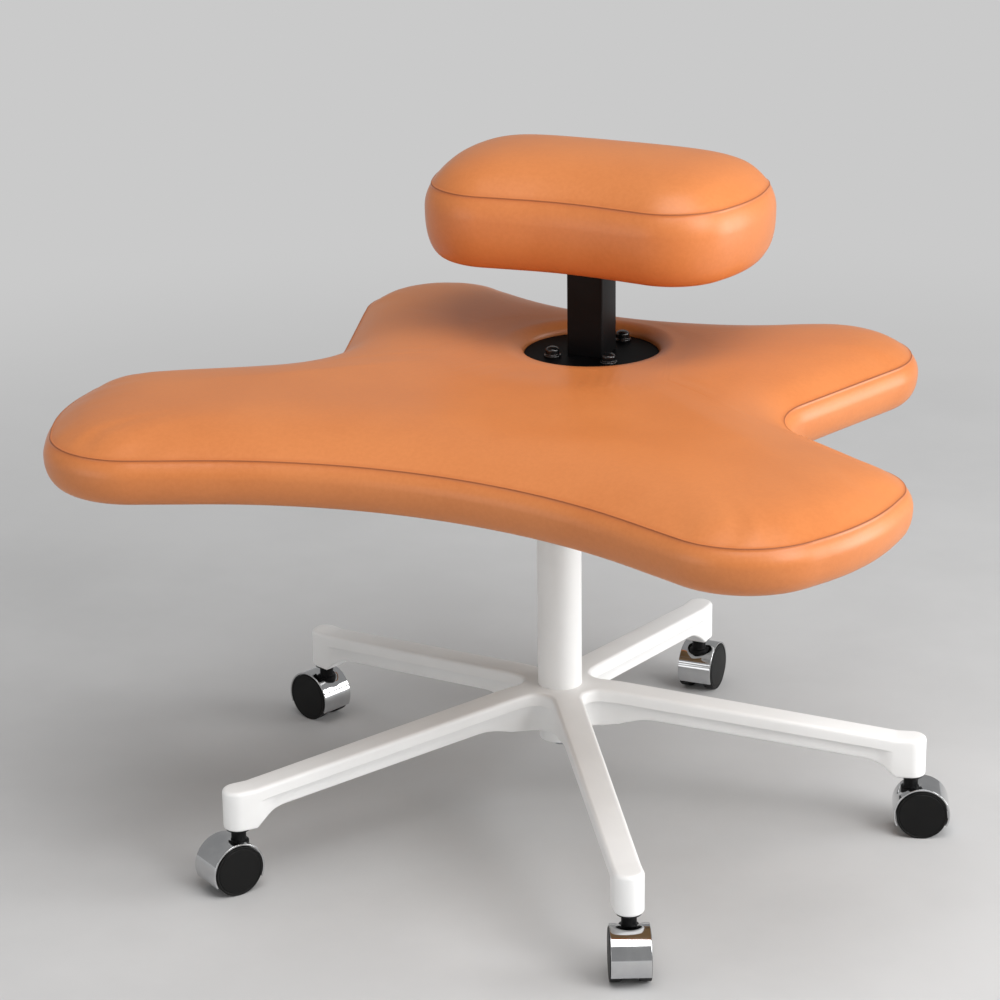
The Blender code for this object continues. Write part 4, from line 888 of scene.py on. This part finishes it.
def star_base():
    """White star: an outline of arms and fillets, moved in and out by a section of web, step and flange."""
    half_turn = math.pi / ARM_COUNT
    distance = (ARM_HALF + FILLET_RADIUS) / math.sin(half_turn)
    circles = []
    for index in range(ARM_COUNT):
        bisector = arm_angle(index) - half_turn
        circles += [
            (distance * math.cos(bisector), distance * math.sin(bisector), FILLET_RADIUS, -1),
            (*arm_end(index), BOSS_RADIUS, 1),
        ]
    outline, normal, runs = tangent_outline(circles, 3 * MM, arm_stations)
    radius = np.hypot(outline[:, 0], outline[:, 1])
    top, bottom, step = base_top(radius), base_bottom(radius), web_step(radius)
    pocket = pocket_depth(radius)
    wall = step + WEB_WALL
    turn = np.linspace(0, np.pi / 2, 7)[:, None]
    ease = np.linspace(0, 1, 7)[:, None]
    upright = np.array([0, 0.5, 1])[:, None]
    flange = FLANGE_HEIGHT - FLANGE_FOOT
    sections = [
        (-wall[None] - 1.2 * MM, bottom + pocket),
        (-wall[None] - 0.6 * MM, bottom + pocket * 0.96),
        (-wall[None], bottom + 0.4 * MM * (pocket > 0)),
        (-step - WEB_EDGE + WEB_EDGE * np.sin(turn), bottom + WEB_EDGE - WEB_EDGE * np.cos(turn)),
        (-step + step * smoothstep(ease, 0, 1), top - FLANGE_HEIGHT - FLANGE_STEP + FLANGE_STEP * ease),
        (0 * upright, top - flange + (flange - TOP_EDGE) * upright),
        (-TOP_EDGE + TOP_EDGE * np.cos(turn), top - TOP_EDGE + TOP_EDGE * np.sin(turn)),
    ]
    rings = []
    for offset, height in sections:
        offset, height = np.broadcast_arrays(offset, height)
        flat = outline[None] + normal[None] * offset[..., None]
        rings.append(np.concatenate([flat, height[..., None]], 2))
    points = np.concatenate(rings, 0)
    shell_points, faces = surface(points, wrap_columns=True)
    bores = []
    for first, bore_radius in zip((0, (len(points) - 1) * len(outline)), BORE_RADII):
        cap, hub = star_cap(runs, first)
        ring = shell_points[hub]
        circle = ring[:, :2] / np.linalg.norm(ring[:, :2], axis=1, keepdims=True) * bore_radius
        bores.append(np.arange(len(hub)) + len(shell_points))
        shell_points = np.vstack([shell_points, np.concatenate([circle, ring[:, 2:]], 1)])
        faces += cap + band_faces(np.array(hub), bores[-1])
    faces += band_faces(*bores)
    make_piece("star_casting", [(shell_points, faces)], WHITE, "base", ["star_base"], 50)


def band_faces(first, second):
    """Quads between two closed rows of corner numbers."""
    return np.stack([first, np.roll(first, -1), np.roll(second, -1), second], 1).tolist()


def star_cap(runs, first):
    """Faces that close one side of the star's arms, in strips with round ends, and the open hub's row."""
    numbers = [np.flatnonzero(runs == run) + first for run in range(4 * ARM_COUNT)]
    faces, hub = [], []
    for index in range(ARM_COUNT):
        fillet, right, end, left = numbers[4 * index:4 * index + 4]
        following = numbers[(4 * index + 4) % len(numbers)]
        right_side = np.concatenate([fillet[-1:], right, end[:1]])
        left_side = np.concatenate([following[:1], left[::-1], end[-1:]])
        faces += np.stack([right_side[:-1], right_side[1:], left_side[1:], left_side[:-1]], 1).tolist()
        faces.append(end.tolist())
        hub += fillet.tolist()
    return faces, hub


# Casters


HOOD_BORE = WHEEL_RADIUS + 0.8 * MM
HOOD_RADIUS = HOOD_BORE + 1.8 * MM
HOOD_HALF = 17.75 * MM
HOOD_SPAN = np.radians((-25, 206))
HOOD_ROWS = 30
DISH_DEPTH = 1.3 * MM
DISH_EDGE = (7 * MM, 12.5 * MM)
WEB_HALF = 7.15 * MM
WEB_FOOT = 7.5 * MM
STEM_FOOT = 32 * MM
STEM_SHAFT = 5.5 * MM
STEM_REACH = 32 * MM
COLLAR_RADIUS = 9.4 * MM
COLLAR_TOP = 46.6 * MM
NECK_RADIUS = 6.8 * MM
WHEEL_INSIDE = 7.75 * MM
WHEEL_BORE = 3.35 * MM
AXLE = (3 * MM, 15.2 * MM)
SLEEVE_BORE = 5.85 * MM
SLEEVE_RADIUS = 7.85 * MM
SLEEVE_FLANGE = 11.4 * MM
SLEEVE_DEPTH = 34 * MM


def hood_shell():
    """Hood in the caster's own frame, stem axis at the origin.

    A sheet section is carried round the axle and sunk in a shallow round dish under the stem.
    """
    middle = (HOOD_BORE + HOOD_RADIUS) / 2
    section = rounded([
        (HOOD_RADIUS, -HOOD_HALF), (HOOD_RADIUS, HOOD_HALF), (HOOD_BORE, HOOD_HALF), (HOOD_BORE, -HOOD_HALF),
    ], 0.55 * MM)
    across = np.linspace(-HOOD_HALF + 1.2 * MM, HOOD_HALF - 1.2 * MM, HOOD_ROWS)
    split = len(section) // 4
    outer = np.stack([np.full(HOOD_ROWS, HOOD_RADIUS), across], 1)
    inner = np.stack([np.full(HOOD_ROWS, HOOD_BORE), across[::-1]], 1)
    section = np.concatenate([section[:split], outer, section[split:3 * split], inner, section[3 * split:]])
    angle = np.linspace(*HOOD_SPAN, 116)[:, None]
    radius, y = section[None, :, 0], np.broadcast_to(section[None, :, 1], (len(angle), len(section)))
    x = CASTER_TRAIL + radius * np.cos(angle)
    z = WHEEL_RADIUS + radius * np.sin(angle)
    apart = np.hypot(CASTER_TRAIL + middle * np.cos(angle), y)
    dish = DISH_DEPTH * (1 - smoothstep(apart, *DISH_EDGE)) * (np.sin(angle) > 0)
    points = np.stack([x - dish * np.cos(angle), y, z - dish * np.sin(angle)], -1)
    return surface(points, wrap_columns=True, cap_rows=True)


def web_shell():
    """Plate between the wheels: half disc over a small round foot, with eased edges."""
    upper = np.linspace(0, np.pi, 40)
    lower = np.linspace(np.pi, 2 * np.pi, 16)[1:-1]
    reach = np.concatenate([np.full(len(upper), HOOD_BORE + 0.4 * MM), np.full(len(lower), WEB_FOOT)])
    angle = np.concatenate([upper, lower])
    eased = WEB_HALF - 0.5 * MM
    y = np.array([-WEB_HALF, -WEB_HALF, -eased, eased, WEB_HALF, WEB_HALF])[:, None]
    ease = np.array([1.0, 0.5, 0.0, 0.0, 0.5, 1.0])[:, None] * MM
    radius = reach[None] - ease
    points = np.stack([
        CASTER_TRAIL + radius * np.cos(angle),
        np.broadcast_to(y, radius.shape),
        WHEEL_RADIUS + radius * np.sin(angle),
    ], -1)
    return surface(points, wrap_columns=True, cap_rows=True)


def stem_shell():
    """Pivot pin: thin round collar in the hood's dish, straight neck and slim shaft, all turned."""
    neck = BOSS_BOTTOM - 2.0 * MM
    tip = BOSS_BOTTOM + STEM_REACH
    corners = [
        (0.0, STEM_FOOT), (COLLAR_RADIUS, STEM_FOOT), (COLLAR_RADIUS, COLLAR_TOP),
        (NECK_RADIUS + 0.1 * MM, COLLAR_TOP + 0.8 * MM), (NECK_RADIUS, neck),
        (STEM_SHAFT, neck), (STEM_SHAFT, tip), (0.0, tip),
    ]
    section = rounded(corners, np.array([0, 0.5, 0.6, 0.6, 0.4, 0.2, 1.2, 0]) * MM, closed=False)
    return turned(section, 40, closed=False)


def wheel_shell(side):
    """Disc wheel with a blind bore: rounded tread, shallow ring round a slightly domed plain face."""
    corners = [
        (0.0, 7.8 * MM), (WHEEL_BORE, 7.8 * MM), (WHEEL_BORE, 0.0), (WHEEL_RADIUS, 0.0),
        (WHEEL_RADIUS, 10.5 * MM), (22.4 * MM, 10.5 * MM), (22.1 * MM, 10.1 * MM), (21.4 * MM, 10.1 * MM),
        (21.1 * MM, 10.55 * MM), (11.0 * MM, 10.85 * MM), (0.0, 10.9 * MM),
    ]
    section = rounded(corners, np.array([0, 0.2, 0.3, 1.4, 1.1, 0.2, 0.2, 0.2, 0.2, 2, 0]) * MM, closed=False)
    flipped = LYING * np.array([[1], [side], [side]])
    place = (CASTER_TRAIL, side * WHEEL_INSIDE, WHEEL_RADIUS)
    return moved(turned(section, 72, closed=False), flipped, place)


def sleeve_shell():
    """Turned sleeve of the arm's boss, with a thin flange under it."""
    flange = BOSS_BOTTOM - 0.3 * MM
    foot = flange - 1.4 * MM
    tip = flange + SLEEVE_DEPTH
    corners = [
        (SLEEVE_BORE, foot), (SLEEVE_FLANGE, foot), (SLEEVE_FLANGE, flange), (SLEEVE_RADIUS, flange),
        (SLEEVE_RADIUS, tip), (SLEEVE_BORE, tip),
    ]
    return turned(rounded(corners, np.array([0.2, 0.5, 0.3, 0.2, 0.3, 0.2]) * MM), 40)


def caster_piece(index, name, shells, finish, body, node):
    """A piece in the caster's own frame, turned to its trail and set under its arm."""
    turn = turn_z(CASTER_HEADINGS[index])
    place = (*arm_end(index), 0.0)
    make_piece(name, [moved(shell, turn, place) for shell in shells], finish, body, [node])


def casters():
    """Five casters: hood with its web, stem, axle, the arm's sleeve and two wheels each."""
    axle = pin_shell(*AXLE, 32, (CASTER_TRAIL, 0, WHEEL_RADIUS))
    for index in range(ARM_COUNT):
        k = index + 1
        body = f"caster_{k}"
        hood = [hood_shell(), web_shell()]
        caster_piece(index, f"hood_{k}", hood, CHROME, body, f"caster_hood_{k}")
        caster_piece(index, f"stem_{k}", [stem_shell()], BLACK, body, f"caster_stem_{k}")
        caster_piece(index, f"axle_{k}", [axle], STEEL, body, f"caster_axle_{k}")
        sleeve = [sleeve_shell()]
        caster_piece(index, f"sleeve_{k}", sleeve, PLASTIC, "base", f"caster_socket_{k}")
        for side, hand in ((-1, "left"), (1, "right")):
            node = f"wheel_{k}_{hand}"
            caster_piece(index, f"disc_{k}_{hand}", [wheel_shell(side)], WHEEL, node, node)


# Lift


ROD_HOLE = 5.35 * MM
TUBE_FOOT = 19.8 * MM
TUBE_RADIUS = 21 * MM
TUBE_BORE = 17.5 * MM
TUBE_FLOOR = 4 * MM
BUSH_BORE = 14.3 * MM
BUSH_RADIUS = 17.2 * MM
BUSH_FLANGE = 20.3 * MM
BUSH_LIP = 3 * MM
GAS_RADIUS = 14 * MM
GAS_TIP = 12.8 * MM
GAS_BORE = 12.5 * MM
GAS_TAPER = 27 * MM
GAS_ROOF = 35 * MM
GAS_FLOOR = 8 * MM
VALVE_HOLE = 3.35 * MM


def lift():
    """Outer tube, guide bush and gas cylinder, all turned about the column."""
    low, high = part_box("lift_tube")
    floor = low.z + TUBE_FLOOR
    corners = [
        (ROD_HOLE, low.z), (TUBE_FOOT, low.z), (TUBE_RADIUS, HUB_TOP), (TUBE_RADIUS, high.z),
        (TUBE_BORE, high.z), (TUBE_BORE, floor), (ROD_HOLE, floor),
    ]
    tube = rounded(corners, np.array([0.3, 0.8, 0, 0.8, 0.5, 0.5, 0.3]) * MM)
    make_piece("column", [turned(tube, 96)], WHITE, "base", ["lift_tube"])
    low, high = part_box("guide_bush")
    lip = high.z - BUSH_LIP
    corners = [
        (BUSH_BORE, low.z), (BUSH_RADIUS, low.z), (BUSH_RADIUS, lip), (BUSH_FLANGE, lip),
        (BUSH_FLANGE, high.z), (BUSH_BORE, high.z),
    ]
    bush = rounded(corners, np.array([0.4, 0.4, 0.2, 0.4, 1.1, 0.6]) * MM)
    make_piece("bush_ring", [turned(bush, 80)], PLASTIC, "base", ["guide_bush"])
    low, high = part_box("gas_cylinder")
    floor, roof = low.z + GAS_FLOOR, high.z - GAS_ROOF
    corners = [
        (ROD_HOLE, low.z), (GAS_RADIUS, low.z), (GAS_RADIUS, high.z - GAS_TAPER), (GAS_TIP, high.z),
        (VALVE_HOLE, high.z), (VALVE_HOLE, roof), (GAS_BORE, roof), (GAS_BORE, floor), (ROD_HOLE, floor),
    ]
    gas = rounded(corners, np.array([0.3, 0.6, 0, 1.0, 0.2, 0.2, 0.2, 0.2, 0.3]) * MM)
    make_piece("gas_spring", [turned(gas, 72)], CHROME, "seat", ["gas_cylinder"])


# Post and fittings


def rounded_box_outline(half_x, half_y, corner, steps=8):
    """Outline of a rectangle with quarter-circle corners, as points and outward normals."""
    angle = np.concatenate([np.linspace(0, np.pi / 2, steps) + k * np.pi / 2 for k in range(4)])
    normal = np.stack([np.cos(angle), np.sin(angle)], 1)
    sign = np.repeat([[1, 1], [-1, 1], [-1, -1], [1, -1]], steps, 0)
    return sign * np.array([half_x - corner, half_y - corner]) + normal * corner, normal


POST_CORNER = 2.5 * MM
POST_WALL = 2 * MM


def post():
    """Black rectangular tube: a rounded rectangle carried up, with a wall and open ends."""
    low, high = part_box("post")
    half = (np.array(high) - np.array(low))[:2] / 2
    outline, normal = rounded_box_outline(*half, POST_CORNER)
    section = rounded([(0, low.z), (0, high.z), (-POST_WALL, high.z), (-POST_WALL, low.z)], 0.3 * MM, 4)
    flat = outline[None] + normal[None] * section[:, None, :1] + np.array([0.0, POST_Y])
    points = np.concatenate([flat, np.broadcast_to(section[:, None, 1:], (*flat.shape[:2], 1))], 2)
    shell = surface(points, wrap_rows=True, wrap_columns=True)
    make_piece("post_tube", [shell], BLACK, "seat", ["post"])


BOLT_COUNT = 4
BOLT_SHANK = 4 * MM
BOLT_FLANGE = 8.3 * MM
BOLT_GAP = 0.15 * MM


def post_fittings():
    """Round plate and the domed flange bolts that hold the post."""
    low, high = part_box("post_plate")
    reach = (high.x - low.x) / 2
    plate = rounded([(0, low.z), (reach, low.z), (reach, high.z), (0, high.z)], 0.5 * MM, 5, False)
    shell = turned(plate, 120, closed=False, centre=(0.0, POST_Y))
    make_piece("post_disc", [shell], PLATE_BLACK, "seat", ["post_plate"])
    seat = PLATE_TOP + BOLT_GAP
    for number in range(1, BOLT_COUNT + 1):
        low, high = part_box(f"post_bolt_{number}")
        centre = ((low.x + high.x) / 2, (low.y + high.y) / 2)
        corners = [
            (0, low.z), (BOLT_SHANK, low.z), (BOLT_SHANK, seat), (BOLT_FLANGE, seat),
            (BOLT_FLANGE, seat + 1.8 * MM), (6.6 * MM, seat + 2.6 * MM), (6.4 * MM, seat + 7.6 * MM),
            (3.4 * MM, seat + 9.5 * MM), (0, seat + 9.8 * MM),
        ]
        head = rounded(corners, np.array([0, 0.3, 0.1, 0.3, 0.8, 0.6, 2.2, 2.0, 0]) * MM, closed=False)
        make_piece(
            f"flange_bolt_{number}", [turned(head, 40, closed=False, centre=centre)], BOLT_BLACK, "seat",
            [f"post_bolt_{number}"],
        )


LEVER_RADIUS = 3.5 * MM
LEVER_BENDS = np.array([(27, 0), (-3.5, 0), (-88, -34), (-183, -34)]) * MM
LEVER_BEND_RADII = np.array([0, 9, 16, 0]) * MM
LEVER_PIN = (2.5 * MM, 13 * MM)
PADDLE_END = 0.06
PADDLE_SIDES = 64


def lever_bar():
    """Lever bar: a circle carried square to its bent path, with its cross pin."""
    pivot = next(np.array(joint["pos_m"]) for joint in frame["joints"] if joint["name"] == "lever_lift")
    path = rounded(LEVER_BENDS, LEVER_BEND_RADII, 12, False)
    step = np.gradient(path, axis=0)
    step /= np.linalg.norm(step, axis=1, keepdims=True)
    angle = np.linspace(0, 2 * np.pi, 24, endpoint=False)
    ring = np.stack([-step[:, 1], step[:, 0]], 1)[:, None] * (LEVER_RADIUS * np.cos(angle))[None, :, None]
    points = np.stack([
        path[:, None, 0] + ring[..., 0],
        np.broadcast_to(LEVER_RADIUS * np.sin(angle), ring.shape[:2]),
        path[:, None, 1] + ring[..., 1],
    ], -1) + pivot
    shells = [surface(points, wrap_columns=True, cap_rows=True), pin_shell(*LEVER_PIN, 24, pivot)]
    make_piece("lever_bar", shells, STEEL, "lever", ["lift_lever"])


def lever_paddle():
    """Flat paddle on the lever's end: a soft-cornered oval that tapers inwards and closes at both ends."""
    low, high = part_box("lever_paddle")
    near, far = PADDLE_END, 1 - PADDLE_END
    shares = np.linspace(0, near, 7), np.linspace(near, far, 24)[1:-1], np.linspace(far, 1, 7)
    share = np.concatenate(shares)
    end = 1 - (1 - np.minimum(1, np.minimum(share, 1 - share) / PADDLE_END)) ** 2.4
    half_y = (high.y - low.y) / 2 * (1 - 0.3 * (1 - share) ** 1.5) * (0.72 + 0.28 * end)
    half_z = (high.z - low.z) / 2 * (0.55 + 0.45 * end) * (1 - 0.12 * np.sin(share * np.pi))
    turn = np.linspace(0, 2 * np.pi, PADDLE_SIDES, endpoint=False)
    c, s = np.cos(turn), np.sin(turn)
    y = np.sign(c) * np.abs(c) ** 0.55
    z = np.sign(s) * np.abs(s) ** 0.75
    points = np.stack([
        np.broadcast_to((low.x + (high.x - low.x) * (1 - share))[:, None], (len(share), PADDLE_SIDES)),
        half_y[:, None] * y[None],
        (low.z + high.z) / 2 + half_z[:, None] * z[None],
    ], -1)
    shell = surface(points, wrap_columns=True, cap_rows=True)
    make_piece("paddle_grip", [shell], PLASTIC, "lever", ["lever_paddle"])


def dress(names, finish, edge):
    """Give kept frame nodes their finish, with welded faces and a small bevel on their edges."""
    for name in names:
        node = NODES[name]
        node.data.materials.clear()
        node.data.materials.append(finish)
        weld = node.modifiers.new("weld", "WELD")
        weld.merge_threshold = 0.00002
        if edge:
            bevel = node.modifiers.new("edge", "BEVEL")
            bevel.width = edge
            bevel.segments = 2
            bevel.limit_method = "ANGLE"
            bevel.angle_limit = math.radians(40)


def kept_nodes():
    """Frame nodes whose shape is right as it is."""
    dress(["seat_mechanism", "pad_bracket"], BLACK, 0.5 * MM)
    dress(["seat_board"], SEAT_PLY, 0)
    dress(["pad_board"], PAD_PLY, 0)
    dress(["riser_block"], RISER_PLY, 0)
    bolts = [f"mechanism_bolt_{k}" for k in range(1, 5)] + ["pad_screw_1", "pad_screw_2"]
    dress(bolts, STEEL, 0.3 * MM)
    dress(["piston_rod", "retaining_clip", "thrust_bearing", "valve_pin"], STEEL, 0.15 * MM)


# Studio


FLOOR_REACH = 60.0
FLOOR_FADE = (0.6, 2.2)
SKY_STRENGTH = 0.35
LIGHT_AIM = np.array((0.0, 0.0, 0.35))
LAMPS = (
    ("window", (2.5, -0.8, 1.9), 1.5, 44.0),
    ("side", (3.0, 1.2, 0.75), 1.7, 66.0),
    ("fill", (-1.6, -2.6, 0.5), 1.8, 14.0),
    ("above", (0.7, -0.9, 2.8), 2.0, 44.0),
)


def pale_floor():
    """Plain floor that takes shadows round the chair and runs out to an even pale tone."""
    mesh = bpy.data.meshes.new("floor")
    corners = [(x * FLOOR_REACH, y * FLOOR_REACH, 0) for x, y in ((-1, -1), (1, -1), (1, 1), (-1, 1))]
    mesh.from_pydata(corners, [], [(0, 1, 2, 3)])
    floor = bpy.data.objects.new("floor", mesh)
    bpy.context.scene.collection.objects.link(floor)
    material, shader, graph, place = new_finish("pale_floor", Specular_IOR_Level=0.2)
    cloud = noise(graph, place, 3.0, 5.0, 0.6)
    feed(
        shader,
        Base_Color=cloud.ramp(0.3, 0.7).mix(srgb(196, 196, 196), srgb(203, 203, 203)),
        Roughness=0.6 + cloud * 0.2,
    )
    rays = ["Is Camera Ray", "Is Glossy Ray", "Is Transmission Ray"]
    seen = sum((graph.make("ShaderNodeLightPath", output=ray) for ray in rays), start=0).clamped()
    reach = graph.make("ShaderNodeVectorMath", {"operation": "LENGTH"}, {0: place}, output="Value")
    glow = graph.make("ShaderNodeEmission", None, {"Color": srgb(202, 202, 202)})
    plain = Wire(graph.tree, shader.outputs[0])
    mixed = graph.make("ShaderNodeMixShader", None, {0: seen * reach.ramp(*FLOOR_FADE), 1: plain, 2: glow})
    output = material.node_tree.nodes["Material Output"]
    material.node_tree.links.new(mixed.socket, output.inputs["Surface"])
    mesh.materials.append(material)


def studio():
    """Even sky and soft square lamps: a window and a side light from the right, one above, a weak fill."""
    scene = bpy.context.scene
    world = bpy.data.worlds.new("studio")
    world.use_nodes = True
    world.node_tree.nodes["Background"].inputs["Color"].default_value = (1.0, 1.0, 1.0, 1.0)
    world.node_tree.nodes["Background"].inputs["Strength"].default_value = SKY_STRENGTH
    scene.world = world
    for name, place, size, power in LAMPS:
        light = bpy.data.lights.new(name, "AREA")
        light.shape = "SQUARE"
        light.size = size
        light.energy = power
        lamp = bpy.data.objects.new(name, light)
        lamp.location = place
        aim = LIGHT_AIM - np.array(place)
        lamp.rotation_euler = (
            math.atan2(math.hypot(aim[0], aim[1]), -aim[2]), 0.0, math.atan2(aim[1], aim[0]) - math.pi / 2
        )
        scene.collection.objects.link(lamp)
    scene.view_settings.view_transform = "Standard"


CAMERA_PLACE = (1.102, -2.552, 1.3055)
CAMERA_TURN = np.radians((-24.49, 19.52, -0.71))
FOCAL_WIDTHS = 3.154
SENSOR_WIDTH = 36.0
FAR_CLIP = 200.0


def camera():
    """Camera of the photograph: place, pan, pitch and roll, with its focal length in image widths."""
    pan, pitch, roll = CAMERA_TURN
    ahead = np.array([np.sin(pan) * np.cos(pitch), np.cos(pan) * np.cos(pitch), -np.sin(pitch)])
    right = np.array([np.cos(pan), -np.sin(pan), 0.0])
    up = np.cross(right, ahead)
    right, up = np.cos(roll) * right + np.sin(roll) * up, np.cos(roll) * up - np.sin(roll) * right
    lens = bpy.data.cameras.new("camera")
    lens.sensor_fit = "HORIZONTAL"
    lens.sensor_width = SENSOR_WIDTH
    lens.lens = FOCAL_WIDTHS * SENSOR_WIDTH
    lens.clip_end = FAR_CLIP
    view = bpy.data.objects.new("camera", lens)
    matrix = np.eye(4)
    matrix[:3, 0], matrix[:3, 1], matrix[:3, 2] = right, up, -ahead
    matrix[:3, 3] = CAMERA_PLACE
    view.matrix_world = matrix.T.tolist()
    bpy.context.scene.collection.objects.link(view)
    bpy.context.scene.camera = view


pale_floor()
studio()
camera()
star_base()
casters()
lift()
post()
post_fittings()
lever_bar()
lever_paddle()
kept_nodes()
seat_cushion()
pad_cushion()
